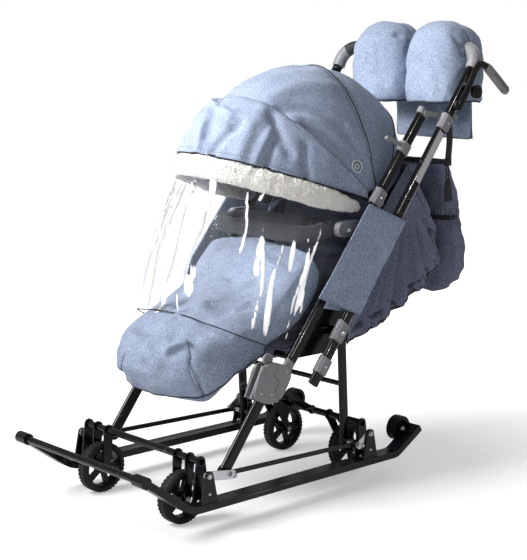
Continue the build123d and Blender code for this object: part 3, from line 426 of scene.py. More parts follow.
class Palette:
    """Every finish by name, made once."""

    FINISHES: tuple = (
        Cloth("blue_linen", (0.430, 0.500, 0.640), (0.120, 0.155, 0.245)),
        Cloth("dark_linen", (0.235, 0.250, 0.345), (0.055, 0.063, 0.108)),
        Cloth("webbing", (0.035, 0.036, 0.040), (0.010, 0.010, 0.012), thread=0.8, crumple=0.0002),
        Cloth("piping", (0.030, 0.034, 0.050), (0.010, 0.012, 0.020), thread=1.6, crumple=0.0),
        Cloth("thread", (0.10, 0.12, 0.18), (0.05, 0.06, 0.09), thread=2.0, crumple=0.0),
        Cloth("bumper_foam", (0.070, 0.074, 0.085), (0.030, 0.032, 0.040), thread=1.3,
              contrast=0.7),
        Hard("black_tube", (0.0035, 0.0035, 0.0045), 0.20, coat=0.15, smudge=0.03, gloss=0.25),
        Hard("runner", (0.004, 0.004, 0.005), 0.26, coat=0.15, grain=500.0, smudge=0.05,
             gloss=0.25),
        Hard("black_plastic", (0.006, 0.006, 0.007), 0.36, grain=1200.0, relief=0.0003, gloss=0.25),
        Hard("grey_plastic", (0.235, 0.240, 0.250), 0.42, grain=1300.0, relief=0.0003, smudge=0.06),
        Hard("dark_plastic", (0.055, 0.057, 0.062), 0.40, grain=1300.0, relief=0.0003),
        Hard("zinc", (0.62, 0.63, 0.65), 0.28, metallic=1.0, smudge=0.14),
        Hard("silver_strip", (0.70, 0.71, 0.72), 0.30, metallic=0.6, smudge=0.10),
        # a light metallic finish for painted highlights on the tubes and the toothed strip
        Hard("highlight", (0.80, 0.80, 0.80), 0.22, metallic=0.85),
        Hard("tyre", (0.008, 0.008, 0.009), 0.55, grain=700.0, relief=0.0006, smudge=0.20,
             gloss=0.30),
        Fleece("fleece", (0.98, 0.96, 0.92), (0.93, 0.90, 0.84)),
        Film("clear_film"),
    )

    def __init__(self, effects: Effects) -> None:
        """Makes every material."""
        self.materials = {finish.name: finish.make(effects) for finish in self.FINISHES}

    def __getitem__(self, name: str) -> bpy.types.Material:
        """The material of that name."""
        return self.materials[name]


# ---------------------------------------------------------------- mesh building
def new_object(name: str, vertices: Sequence, faces: Sequence,
               edges: Sequence = ()) -> bpy.types.Object:
    """A mesh object at the origin, smooth shaded.

    Args:
        name: the object's name.
        vertices: the points.
        faces: each face's indices.
        edges: each loose edge's indices.

    Returns:
        The object, in the scene.
    """
    mesh = bpy.data.meshes.new(name)
    mesh.from_pydata([tuple(v) for v in vertices], list(edges), list(faces))
    mesh.update()
    if len(mesh.polygons):
        mesh.polygons.foreach_set("use_smooth", [True] * len(mesh.polygons))
    obj = bpy.data.objects.new(name, mesh)
    bpy.context.scene.collection.objects.link(obj)
    return obj


def bake(obj: bpy.types.Object) -> bpy.types.Object:
    """Turns the object's modifiers into plain mesh."""
    bpy.context.view_layer.update()
    mesh = bpy.data.meshes.new_from_object(obj.evaluated_get(bpy.context.evaluated_depsgraph_get()))
    obj.modifiers.clear()
    obj.data = mesh
    return obj


def modify(obj: bpy.types.Object, kind: str, **settings: object) -> bpy.types.Object:
    """Adds one modifier and applies it."""
    modifier = obj.modifiers.new(kind.lower(), kind)
    for key, value in settings.items():
        setattr(modifier, key, value)
    return bake(obj)


def outward(obj: bpy.types.Object) -> bpy.types.Object:
    """Merges doubles and turns a closed mesh's faces outwards."""
    b = bmesh.new()
    b.from_mesh(obj.data)
    bmesh.ops.remove_doubles(b, verts=b.verts, dist=1e-6)
    bmesh.ops.recalc_face_normals(b, faces=b.faces)
    b.to_mesh(obj.data)
    b.free()
    return obj


def surface(name: str, rows: Sequence[Line], loop: bool = False,
            ends: Ends = Ends.OPEN) -> bpy.types.Object:
    """A surface of quads from rows of equally many points.

    Args:
        name: the object's name.
        rows: the rows of points.
        loop: whether each row closes on itself.
        ends: whether the first and last rows are closed with a fan.

    Returns:
        The object; its faces point outwards where it is closed.
    """
    count = len(rows[0])
    vertices = [p for row in rows for p in row]
    faces: list[tuple[int, ...]] = []
    span = count if loop else count - 1
    for i in range(len(rows) - 1):
        for j in range(span):
            k = (j + 1) % count
            faces.append((i * count + j, i * count + k, (i + 1) * count + k, (i + 1) * count + j))
    if ends is Ends.CLOSED:
        for row, flip in ((0, True), (len(rows) - 1, False)):
            vertices.append(sum(rows[row], Vector()) / count)
            hub = len(vertices) - 1
            for j in range(span):
                a, b = row * count + j, row * count + (j + 1) % count
                faces.append((b, a, hub) if flip else (a, b, hub))
    obj = new_object(name, vertices, faces)
    return outward(obj) if ends is Ends.CLOSED else obj


def smooth_line(points: Sequence[Sequence[float]], count: int, loop: bool = False) -> Line:
    """A smooth line through points, as evenly spaced points.

    Args:
        points: the points to pass through.
        count: how many points come back.
        loop: whether the line closes.

    Returns:
        The points; a loop doesn't repeat its first.
    """
    given = [Vector(p) for p in points]
    size = len(given)
    dense: Line = []
    last = size if loop else size - 1
    for i in range(last):
        p = [given[(i + k) % size] if loop else given[min(max(i + k, 0), size - 1)]
             for k in (-1, 0, 1, 2)]
        for step in range(12):
            t = step / 12
            slope, curve = p[2] - p[0], 2 * p[0] - 5 * p[1] + 4 * p[2] - p[3]
            twist = 3 * p[1] - p[0] - 3 * p[2] + p[3]
            dense.append(0.5 * (2 * p[1] + slope * t + curve * t ** 2 + twist * t ** 3))
    dense.append(given[0] if loop else given[-1])
    return even(dense, count, loop)


def even(line: Line, count: int, loop: bool = False) -> Line:
    """Points spaced evenly along a line.

    Args:
        line: the line.
        count: how many points come back.
        loop: whether the line closes on its last point.

    Returns:
        The points.
    """
    lengths = [0.0]
    for a, b in zip(line, line[1:]):
        lengths.append(lengths[-1] + (b - a).length)
    total, at, out = lengths[-1], 0, []
    for i in range(count):
        goal = total * i / (count if loop else count - 1)
        while at < len(lengths) - 2 and lengths[at + 1] < goal:
            at += 1
        piece = lengths[at + 1] - lengths[at]
        t = (goal - lengths[at]) / piece if piece > 1e-12 else 0.0
        out.append(line[at].lerp(line[at + 1], min(max(t, 0.0), 1.0)))
    return out


def sweep(name: str, path: Line, section: Sequence[tuple[float, float]], up: Vector = UP,
          scale: Callable[[float], float] = lambda t: 1.0, loop: bool = False) -> bpy.types.Object:
    """Carries a closed section along a path.

    Args:
        name: the object's name.
        path: the path's points.
        section: the section's points, (side, up) from the path.
        up: the section's up direction at the start.
        scale: the section's size along the path, from 0 to 1.
        loop: whether the path closes.

    Returns:
        The closed object.
    """
    rows: list[Line] = []
    count = len(path)
    for i, point in enumerate(path):
        ahead = path[(i + 1) % count] if loop else path[min(i + 1, count - 1)]
        behind = path[i - 1] if loop else path[max(i - 1, 0)]
        way = (ahead - behind).normalized()
        up = (up - way * up.dot(way)).normalized()
        side = way.cross(up)
        size = scale(i / (count - 1))
        rows.append([point + side * (u * size) + up * (v * size) for u, v in section])
    if loop:
        rows.append(rows[0])
        return outward(surface(name, rows, loop=True))
    return surface(name, rows, loop=True, ends=Ends.CLOSED)


def ring(radius: float, count: int = 12, flat: float = 1.0,
         square: float = 2.0) -> list[tuple[float, float]]:
    """A round or squared section.

    Args:
        radius: half its width.
        count: how many points it has.
        flat: its height over its width.
        square: 2 is round, and more is squarer.

    Returns:
        The points, (side, up).
    """
    out = []
    for i in range(count):
        a = 2 * math.pi * i / count
        c, s = math.cos(a), math.sin(a)
        out.append((radius * powered(c, 2 / square), radius * flat * powered(s, 2 / square)))
    return out


def rounded(points: Sequence[tuple[float, float]], radius: float,
            steps: int = 5) -> list[tuple[float, float]]:
    """A polygon with its corners rounded.

    Args:
        points: the polygon's corners.
        radius: how far each corner is cut back.
        steps: how many spans each corner has.

    Returns:
        The outline.
    """
    out = []
    corners = [Vector(p) for p in points]
    for i, corner in enumerate(corners):
        back, on = corners[i - 1] - corner, corners[(i + 1) % len(corners)] - corner
        cut = min(radius, back.length * 0.48, on.length * 0.48)
        a, b = corner + back.normalized() * cut, corner + on.normalized() * cut
        for step in range(steps + 1):
            t = step / steps
            out.append(tuple((1 - t) ** 2 * a + 2 * t * (1 - t) * corner + t ** 2 * b))
    return out


def slab(name: str, outline: Sequence[tuple[float, float]], x0: float, x1: float,
         bevel: float = 0.001, segments: int = 3) -> bpy.types.Object:
    """A plate across X with an outline in Y and Z and bevelled rims.

    Args:
        name: the object's name.
        outline: the plate's outline.
        x0: one face's X.
        x1: the other face's X.
        bevel: the rims' bevel.
        segments: the bevel's spans.

    Returns:
        The plate.
    """
    count = len(outline)
    vertices = [(x, y, z) for x in (x0, x1) for y, z in outline]
    faces = [tuple(range(count)), tuple(range(2 * count - 1, count - 1, -1))]
    faces += [(i, count + i, count + (i + 1) % count, (i + 1) % count) for i in range(count)]
    obj = outward(new_object(name, vertices, faces))
    modify(obj, "BEVEL", width=bevel, segments=segments, limit_method="ANGLE",
           angle_limit=math.radians(35))
    return modify(obj, "WEIGHTED_NORMAL", keep_sharp=True)


def full_turn(count: int) -> list[float]:
    """Angles evenly round a full turn, in radians."""
    return [2 * math.pi * i / count for i in range(count)]


def powered(value: float, power: float) -> float:
    """A value raised to a power with its sign kept, which squares or pinches a round form."""
    return math.copysign(abs(value) ** power, value)


def flipped(line: Iterable[Vector]) -> Line:
    """A line's mirror image on the other side of the middle plane."""
    return [Vector((-p.x, p.y, p.z)) for p in line]


def mm(points: Iterable[Sequence[float]]) -> Line:
    """Points that are given in millimetres."""
    return [Vector(p) / 1000 for p in points]


def fold_line(start: Sequence[float], end: Sequence[float], count: int) -> Line:
    """A straight line between two points in millimetres, for a fold to follow."""
    a, b = Vector(start), Vector(end)
    return smooth_line([a / 1000, (a + b) / 2000, b / 1000], count)


def line_object(line: Line) -> bpy.types.Object:
    """A mesh of edges only, for a tree that starts from a line."""
    return new_object("line", line, [], [(i, i + 1) for i in range(len(line) - 1)])


def disc_outline(y: float, z: float, radius: float, count: int) -> list[tuple[float, float]]:
    """A round outline in Y and Z."""
    return [(y + radius * math.cos(a), z + radius * math.sin(a)) for a in full_turn(count)]


def hoop(name: str, centre: Vector, radius: float, thick: float, count: int,
         sides: int = 8) -> bpy.types.Object:
    """A round ring about the X axis.

    Args:
        name: the object's name.
        centre: the ring's middle.
        radius: the ring's radius, to the middle of its section.
        thick: the section's radius.
        count: how many points it has round.
        sides: how many points its section has.

    Returns:
        The closed ring.
    """
    line = [centre + Vector((0, radius * math.cos(a), radius * math.sin(a)))
            for a in full_turn(count)]
    return sweep(name, line, ring(thick, sides), ACROSS, loop=True)


def join(name: str, parts: Sequence[bpy.types.Object]) -> bpy.types.Object:
    """One object made of several, whose meshes are in the same place."""
    b = bmesh.new()
    for part in parts:
        b.from_mesh(part.data)
        bpy.data.objects.remove(part)
    mesh = bpy.data.meshes.new(name)
    b.to_mesh(mesh)
    b.free()
    mesh.polygons.foreach_set("use_smooth", [True] * len(mesh.polygons))
    obj = bpy.data.objects.new(name, mesh)
    bpy.context.scene.collection.objects.link(obj)
    return obj


def mirrored(obj: bpy.types.Object, name: str) -> bpy.types.Object:
    """A copy of an object on the other side of the middle plane."""
    copy = bpy.data.objects.new(name, obj.data.copy())
    bpy.context.scene.collection.objects.link(copy)
    copy.data.transform(Matrix.Scale(-1.0, 4, ACROSS))
    copy.data.flip_normals()
    return copy


def co_array(obj: bpy.types.Object) -> np.ndarray:
    """The vertices' places."""
    out = np.zeros(len(obj.data.vertices) * 3)
    obj.data.vertices.foreach_get("co", out)
    return out.reshape(-1, 3)


def move_to(obj: bpy.types.Object, places: np.ndarray) -> bpy.types.Object:
    """Puts the vertices at new places."""
    obj.data.vertices.foreach_set("co", places.reshape(-1))
    obj.data.update()
    return obj


def normals(obj: bpy.types.Object) -> np.ndarray:
    """The vertices' normals."""
    return np.array([v.normal[:] for v in obj.data.vertices])


def from_line(places: np.ndarray, line: Line) -> np.ndarray:
    """Each place's distance from a line."""
    best = np.full(len(places), 1e9)
    for a, b in zip(line, line[1:]):
        a_, d = np.array(a), np.array(b - a)
        t = np.clip(((places - a_) @ d) / max(float(d @ d), 1e-12), 0, 1)
        best = np.minimum(best, np.linalg.norm(places - a_ - t[:, None] * d, axis=1))
    return best


def press(obj: bpy.types.Object, line: Line, depth: float, width: float) -> bpy.types.Object:
    """Presses a soft groove along a line, or raises a ridge with a negative depth."""
    places = co_array(obj)
    sink = depth * np.exp(-(from_line(places, line) / width) ** 2)
    return move_to(obj, places - normals(obj) * sink[:, None])


def rumple(obj: bpy.types.Object, height: float, size: float, seed: float) -> bpy.types.Object:
    """Moves a soft surface in and out by slow noise."""
    places = co_array(obj)
    shift = np.array([noise.noise(Vector(p) / size + Vector((seed, 2 * seed, 0))) for p in places])
    return move_to(obj, places + normals(obj) * (height * shift)[:, None])


def on_surface(obj: bpy.types.Object, line: Line, lift: float = 0.0) -> Line:
    """The line laid on the object's nearest surface, lifted off it a little.

    Args:
        obj: the object.
        line: the line.
        lift: how far off the surface it goes.

    Returns:
        The laid line.
    """
    tree = BVHTree.FromPolygons([v.co for v in obj.data.vertices],
                                [p.vertices for p in obj.data.polygons])
    out = []
    for point in line:
        spot, normal, _, _ = tree.find_nearest(point)
        out.append(spot + normal * lift)
    return out


def settle(obj: bpy.types.Object, voxel: float, pressure: float, cap: float) -> bpy.types.Object:
    """Fills a soft closed piece with air as cloth, so that it crowns between its edges.

    Args:
        obj: the closed piece.
        voxel: the size of the new mesh's faces.
        pressure: the cloth's pressure.
        cap: how far a point may move.

    Returns:
        The same object with the settled mesh.
    """
    modify(obj, "REMESH", mode="VOXEL", voxel_size=voxel, use_smooth_shade=True)
    before = co_array(obj)
    cloth = obj.modifiers.new("settle", "CLOTH")
    settings = cloth.settings
    settings.quality = 4
    settings.mass = 0.3
    settings.use_pressure = True
    settings.uniform_pressure_force = pressure
    settings.effector_weights.gravity = 0.0
    settings.bending_stiffness = 2.0
    scene = bpy.context.scene
    for step in range(1, 21):
        scene.frame_set(step)
    bake(obj)
    scene.frame_set(1)
    move = co_array(obj) - before
    length = np.linalg.norm(move, axis=1)
    held = np.minimum(length, cap) / np.maximum(length, 1e-9)
    move_to(obj, before + move * held[:, None])
    return modify(obj, "SMOOTH", iterations=2, factor=0.5)


# ---------------------------------------------------------------- geometry node trees
class Repeats:
    """Geometry Nodes trees for what repeats: stitches, bolts, ribs, tread and curls."""

    def __init__(self) -> None:
        """Builds every tree."""
        self.stitches = self.build_stitches()
        self.bolts = self.build_bolts()
        self.ribs = self.build_ribs()
        self.tread = self.build_tread()
        self.curls = self.build_curls()

    @staticmethod
    def begin(
            name: str, inputs: Sequence[tuple],
    ) -> tuple[bpy.types.NodeTree, Nodes, bpy.types.Node]:
        """A tree with a geometry input, a material input and the named inputs."""
        sockets = [("Geometry", "NodeSocketGeometry", None),
                   ("Material", "NodeSocketMaterial", None), *inputs]
        tree = new_group(name, "GeometryNodeTree", sockets, [("Geometry", "NodeSocketGeometry")])
        n = Nodes(tree)
        return tree, n, n.add("NodeGroupInput")

    @staticmethod
    def end(n: Nodes, given: bpy.types.Node, geometry: Socket) -> None:
        """Realizes the instances and sets the material."""
        real = n.add("GeometryNodeRealizeInstances", args=(geometry,))
        coloured = n.add("GeometryNodeSetMaterial", Geometry=real.outputs[0],
                         Material=given.outputs["Material"])
        smooth = n.add("GeometryNodeSetShadeSmooth", Geometry=coloured.outputs[0])
        n.add("NodeGroupOutput", args=(smooth.outputs[0],))

    def build_stitches(self) -> bpy.types.NodeTree:
        """Short thread stitches along a line."""
        tree, n, given = self.begin("Stitches along a line", [
            ("Spacing", "NodeSocketFloat", 0.005), ("Length", "NodeSocketFloat", 0.0034),
            ("Thickness", "NodeSocketFloat", 0.0004)])
        curve = n.add("GeometryNodeMeshToCurve", Mesh=given.outputs["Geometry"])
        points = n.add("GeometryNodeCurveToPoints", {"mode": "LENGTH"}, Curve=curve.outputs[0],
                       Length=given.outputs["Spacing"])
        thread = n.add("GeometryNodeMeshCylinder", Vertices=6, Radius=given.outputs["Thickness"],
                       Depth=given.outputs["Length"])
        laid = n.add("GeometryNodeInstanceOnPoints", Points=points.outputs["Points"],
                     Instance=thread.outputs["Mesh"], Rotation=points.outputs["Rotation"])
        self.end(n, given, laid.outputs[0])
        return tree

    def build_bolts(self) -> bpy.types.NodeTree:
        """Bolt heads with washers on points, each along the point's axis and of its size."""
        tree, n, given = self.begin("Bolt heads on points", [("Sides", "NodeSocketInt", 6)])
        axis = n.add("GeometryNodeInputNamedAttribute", {"data_type": "FLOAT_VECTOR"}, Name="axis")
        size = n.add("GeometryNodeInputNamedAttribute", {"data_type": "FLOAT"}, Name="size")
        turn = n.add("FunctionNodeAlignRotationToVector", {"axis": "Z"}, Vector=axis.outputs[0])
        washer = n.add("GeometryNodeMeshCylinder", Vertices=20, Radius=1.0, Depth=0.22)
        head = n.add("GeometryNodeMeshCylinder", Vertices=given.outputs["Sides"], Radius=0.66,
                     Depth=0.8)
        raised = n.add("GeometryNodeTransform", Geometry=head.outputs["Mesh"],
                       Translation=(0, 0, 0.34))
        dome = n.add("GeometryNodeMeshUVSphere", Segments=12, Rings=6, Radius=0.52)
        capped = n.add("GeometryNodeTransform", Geometry=dome.outputs["Mesh"],
                       Translation=(0, 0, 0.62), Scale=(1.0, 1.0, 0.5))
        whole = n.add("GeometryNodeJoinGeometry")
        for part in (washer.outputs["Mesh"], raised.outputs[0], capped.outputs[0]):
            tree.links.new(part, whole.inputs[0])
        laid = n.add("GeometryNodeInstanceOnPoints", Points=given.outputs["Geometry"],
                     Instance=whole.outputs[0], Rotation=turn.outputs[0], Scale=size.outputs[0])
        self.end(n, given, laid.outputs[0])
        return tree

    def build_ribs(self) -> bpy.types.NodeTree:
        """Rings round a line, like the ribs of a soft grip."""
        tree, n, given = self.begin("Ribs round a line", [
            ("Spacing", "NodeSocketFloat", 0.006), ("Radius", "NodeSocketFloat", 0.016),
            ("Thickness", "NodeSocketFloat", 0.0016)])
        curve = n.add("GeometryNodeMeshToCurve", Mesh=given.outputs["Geometry"])
        points = n.add("GeometryNodeCurveToPoints", {"mode": "LENGTH"}, Curve=curve.outputs[0],
                       Length=given.outputs["Spacing"])
        circle = n.add("GeometryNodeCurvePrimitiveCircle", Resolution=20,
                       Radius=given.outputs["Radius"])
        profile = n.add("GeometryNodeCurvePrimitiveCircle", Resolution=6,
                        Radius=given.outputs["Thickness"])
        hoop = n.add("GeometryNodeCurveToMesh", Curve=circle.outputs[0])
        n.feed(hoop.inputs["Profile Curve"], profile.outputs[0])
        laid = n.add("GeometryNodeInstanceOnPoints", Points=points.outputs["Points"],
                     Instance=hoop.outputs[0], Rotation=points.outputs["Rotation"])
        self.end(n, given, laid.outputs[0])
        return tree

    def build_tread(self) -> bpy.types.NodeTree:
        """Two rows of tread blocks round a wheel's axle, which runs along X."""
        tree, n, given = self.begin("Tread blocks round a wheel", [
            ("Centre", "NodeSocketVector", None), ("Radius", "NodeSocketFloat", 0.057),
            ("Count", "NodeSocketInt", 34), ("Block", "NodeSocketVector", None),
            ("Spread", "NodeSocketFloat", 0.007)])
        points = n.add("GeometryNodePoints", Count=given.outputs["Count"])
        index = n.add("GeometryNodeInputIndex").outputs[0]
        step = n.math("DIVIDE", 2 * math.pi, given.outputs["Count"])
        turn = n.math("MULTIPLY", index, step)
        place = n.add("ShaderNodeCombineXYZ", args=(
            0.0, n.math("MULTIPLY", n.math("SINE", turn),
                        n.math("MULTIPLY", given.outputs["Radius"], -1.0)),
            n.math("MULTIPLY", n.math("COSINE", turn), given.outputs["Radius"])))
        n.feed(points.inputs["Position"], place.outputs[0])
        block = n.add("GeometryNodeMeshCube", Size=given.outputs["Block"])
        pair = n.add("GeometryNodeJoinGeometry")
        for way in (1.0, -1.0):
            spread = n.math("MULTIPLY", given.outputs["Spread"], way)
            shift = n.add("ShaderNodeCombineXYZ", args=(spread, 0.0 if way > 0 else 0.0045, 0.0))
            skew = n.add("GeometryNodeTransform", Geometry=block.outputs["Mesh"],
                         Translation=shift.outputs[0], Rotation=(0.0, 0.0, 0.35 * way))
            tree.links.new(skew.outputs[0], pair.inputs[0])
        spin = n.add("ShaderNodeCombineXYZ", args=(turn, 0.0, 0.0))
        laid = n.add("GeometryNodeInstanceOnPoints", Points=points.outputs[0],
                     Instance=pair.outputs[0], Rotation=spin.outputs[0])
        moved = n.add("GeometryNodeTransform", Geometry=laid.outputs[0],
                      Translation=given.outputs["Centre"])
        self.end(n, given, moved.outputs[0])
        return tree

    def build_curls(self) -> bpy.types.NodeTree:
        """Small round curls spread over a surface, which stays under them."""
        tree, n, given = self.begin("Curls on a surface", [
            ("Density", "NodeSocketFloat", 60000.0), ("Size", "NodeSocketFloat", 0.0028),
            ("Seed", "NodeSocketInt", 4)])
        spots = n.add("GeometryNodeDistributePointsOnFaces", Mesh=given.outputs["Geometry"],
                      Density=given.outputs["Density"], Seed=given.outputs["Seed"])
        ball = n.add("GeometryNodeMeshIcoSphere", Radius=given.outputs["Size"], Subdivisions=1)
        size = n.add("FunctionNodeRandomValue", {"data_type": "FLOAT"}, Seed=given.outputs["Seed"])
        size.inputs[2].default_value = 0.55
        size.inputs[3].default_value = 1.25
        laid = n.add("GeometryNodeInstanceOnPoints", Points=spots.outputs["Points"],
                     Instance=ball.outputs["Mesh"],
                     Rotation=spots.outputs["Rotation"], Scale=size.outputs[1])
        whole = n.add("GeometryNodeJoinGeometry")
        tree.links.new(laid.outputs[0], whole.inputs[0])
        tree.links.new(given.outputs["Geometry"], whole.inputs[0])
        self.end(n, given, whole.outputs[0])
        return tree

    @staticmethod
    def grow(name: str, source: bpy.types.Object, tree: bpy.types.NodeTree,
             material: bpy.types.Material,
             **values: object) -> bpy.types.Object:
        """Runs a tree on a source and keeps the result as a plain mesh.

        Args:
            name: the new piece's name.
            source: the object that the tree starts from; it is used up.
            tree: the tree.
            material: the material that the tree sets.
            values: the tree's other inputs, by name with _ for a space.

        Returns:
            The new piece.
        """
        modifier = source.modifiers.new("build", "NODES")
        modifier.node_group = tree
        wanted = {"Material": material,
                  **{key.replace("_", " "): value for key, value in values.items()}}
        for item in tree.interface.items_tree:
            if item.item_type == "SOCKET" and item.in_out == "INPUT" and item.name in wanted:
                modifier[item.identifier] = wanted[item.name]
        bpy.context.view_layer.update()
        seen = source.evaluated_get(bpy.context.evaluated_depsgraph_get())
        mesh = bpy.data.meshes.new_from_object(seen)
        source.modifiers.clear()
        bpy.data.objects.remove(source)
        mesh.name = name
        obj = bpy.data.objects.new(name, mesh)
        bpy.context.scene.collection.objects.link(obj)
        return obj


@dataclass
class Workshop:
    """What every sub-assembly needs: finishes, trees and a way to place a finished piece."""

    palette: Palette
    repeats: Repeats
    count: int = 0

    def place(self, obj: bpy.types.Object, body: str | tuple, finish: str, slot: str | None = None,
              stands_for: Sequence[str] = ()) -> bpy.types.Object:
        """Dresses a piece and lets it ride on its body.

        Args:
            obj: the piece.
            body: the CAD body's name.
            finish: the palette's name of its finish.
            slot: the record's slot, where it isn't the finish's name; not used.
            stands_for: the CAD nodes that it replaces.

        Returns:
            The piece.
        """
        obj.data.materials.clear()
        obj.data.materials.append(self.palette[finish])
        slot or finish
        if stands_for:
            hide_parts(*stands_for)
        if isinstance(body, str):
            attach(obj, body)
        self.count += 1
        LOG.info("%s on %s, %d faces", obj.name, body, len(obj.data.polygons))
        return obj

    def grow(self, name: str, source: bpy.types.Object, tree: bpy.types.NodeTree, body: str,
             finish: str, slot: str | None = None, stands_for: Sequence[str] = (),
             **values: object) -> bpy.types.Object:
        """Runs a tree on a source and places what it makes.

        Args:
            name: the piece's name.
            source: the object that the tree starts from; it is used up.
            tree: one of the repeats' trees.
            body: the CAD body's name.
            finish: the palette's name of its finish.
            slot: the record's slot, where it isn't the finish's name.
            stands_for: the CAD nodes that it replaces.
            values: the tree's other inputs.

        Returns:
            The piece.
        """
        obj = self.repeats.grow(name, source, tree, self.palette[finish], **values)
        return self.place(obj, body, finish, slot, stands_for)

    def sew(self, obj: bpy.types.Object, body: str, finish: str, flat: tuple[float, float],
            held: str, rests_on: Sequence[str], skin: float,
            stands_for: Sequence[str] = ()) -> bpy.types.Object:
        """Args:
            obj: the sheet, still without thickness.
            body: the CAD body's name.
            finish: the palette's name of its finish.
            flat: the size of the piece that it is cut from; not used.
            held: how it is held; not used.
            rests_on: the pieces and nodes that it rests on; not used.
            skin: its thickness.
            stands_for: the CAD nodes that it replaces.

        Returns:
            The piece.
        """
        modify(obj, "SOLIDIFY", thickness=skin, offset=-1.0)
        self.place(obj, body, finish, stands_for=stands_for)
        return obj

    def stitch(self, name: str, lines: Sequence[Line], body: str, slot: str = "blue_linen",
               spacing: float = 0.0055) -> bpy.types.Object:
        """Sews thread stitches along lines.

        Args:
            name: the piece's name.
            lines: the lines, each on its cloth.
            body: the CAD body's name.
            slot: the slot of the cloth.
            spacing: from one stitch to the next.

        Returns:
            The piece.
        """
        vertices: Line = []
        edges: list[tuple[int, int]] = []
        for line in lines:
            start = len(vertices)
            vertices += line
            edges += [(start + i, start + i + 1) for i in range(len(line) - 1)]
        source = new_object("seam", vertices, [], edges)
        return self.grow(name, source, self.repeats.stitches, body, "thread", slot, Spacing=spacing)

    def bolt(self, name: str, spots: Sequence[tuple], body: str, finish: str = "zinc",
             slot: str = "zinc", sides: int = 6) -> bpy.types.Object:
        """Puts bolt heads at spots.

        Args:
            name: the piece's name.
            spots: each bolt's place, axis and washer radius.
            body: the CAD body's name.
            finish: the palette's name of its finish.
            slot: the record's slot.
            sides: how many sides a head has.

        Returns:
            The piece.
        """
        source = new_object("spots", [s[0] for s in spots], [])
        axis = source.data.attributes.new("axis", "FLOAT_VECTOR", "POINT")
        axis.data.foreach_set("vector", [v for s in spots for v in Vector(s[1])])
        size = source.data.attributes.new("size", "FLOAT", "POINT")
        size.data.foreach_set("value", [s[2] for s in spots])
        return self.grow(name, source, self.repeats.bolts, body, finish, slot, Sides=sides)

    def pipe(self, name: str, line: Line, radius: float, body: str, finish: str = "piping",
             slot: str = "dark_linen", loop: bool = False) -> bpy.types.Object:
        """A round cord of piping along a line."""
        return self.place(sweep(name, line, ring(radius, 8), loop=loop), body, finish, slot)


def both_sides(spots: Iterable[tuple]) -> list[tuple]:
    """Spots and their mirror images."""
    out = []
    for place, axis, size in spots:
        out.append((place, axis, size))
        out.append(((-place[0], place[1], place[2]), (-axis[0], axis[1], axis[2]), size))
    return out


def on_main(s: float, off: float = 0.0, x: float = TUBE_X) -> Vector:
    """A point a length up a main tube, off towards its rear."""
    return MAIN_FOOT + MAIN_WAY * s + Vector((x, MAIN_WAY.z * off, -MAIN_WAY.y * off))


def on_handle(s: float, off: float = 0.0, x: float = HANDLE_X) -> Vector:
    """A point a length above the handle's pivot, off towards its rear."""
    return HANDLE_PIVOT + HANDLE_WAY * s + Vector((x, HANDLE_WAY.z * off, -HANDLE_WAY.y * off))


# ---------------------------------------------------------------- sub-assemblies
@dataclass(frozen=True)
class Lamp:
    """A square soft lamp: its place, side length, power, aim and spread in degrees."""

    name: str
    place: tuple
    size: float
    power: float
    aim: tuple = (0.0, 0.0, 0.5)
    spread: float = 180.0

    def build(self) -> None:
        """Hangs the lamp, turned to its aim."""
        light = bpy.data.lights.new(self.name, "AREA")
        light.energy, light.size, light.spread = self.power, self.size, math.radians(self.spread)
        obj = bpy.data.objects.new(self.name, light)
        obj.location = self.place
        way = Vector(self.aim) - Vector(self.place)
        obj.rotation_euler = way.to_track_quat("-Z", "Y").to_euler()
        bpy.context.scene.collection.objects.link(obj)


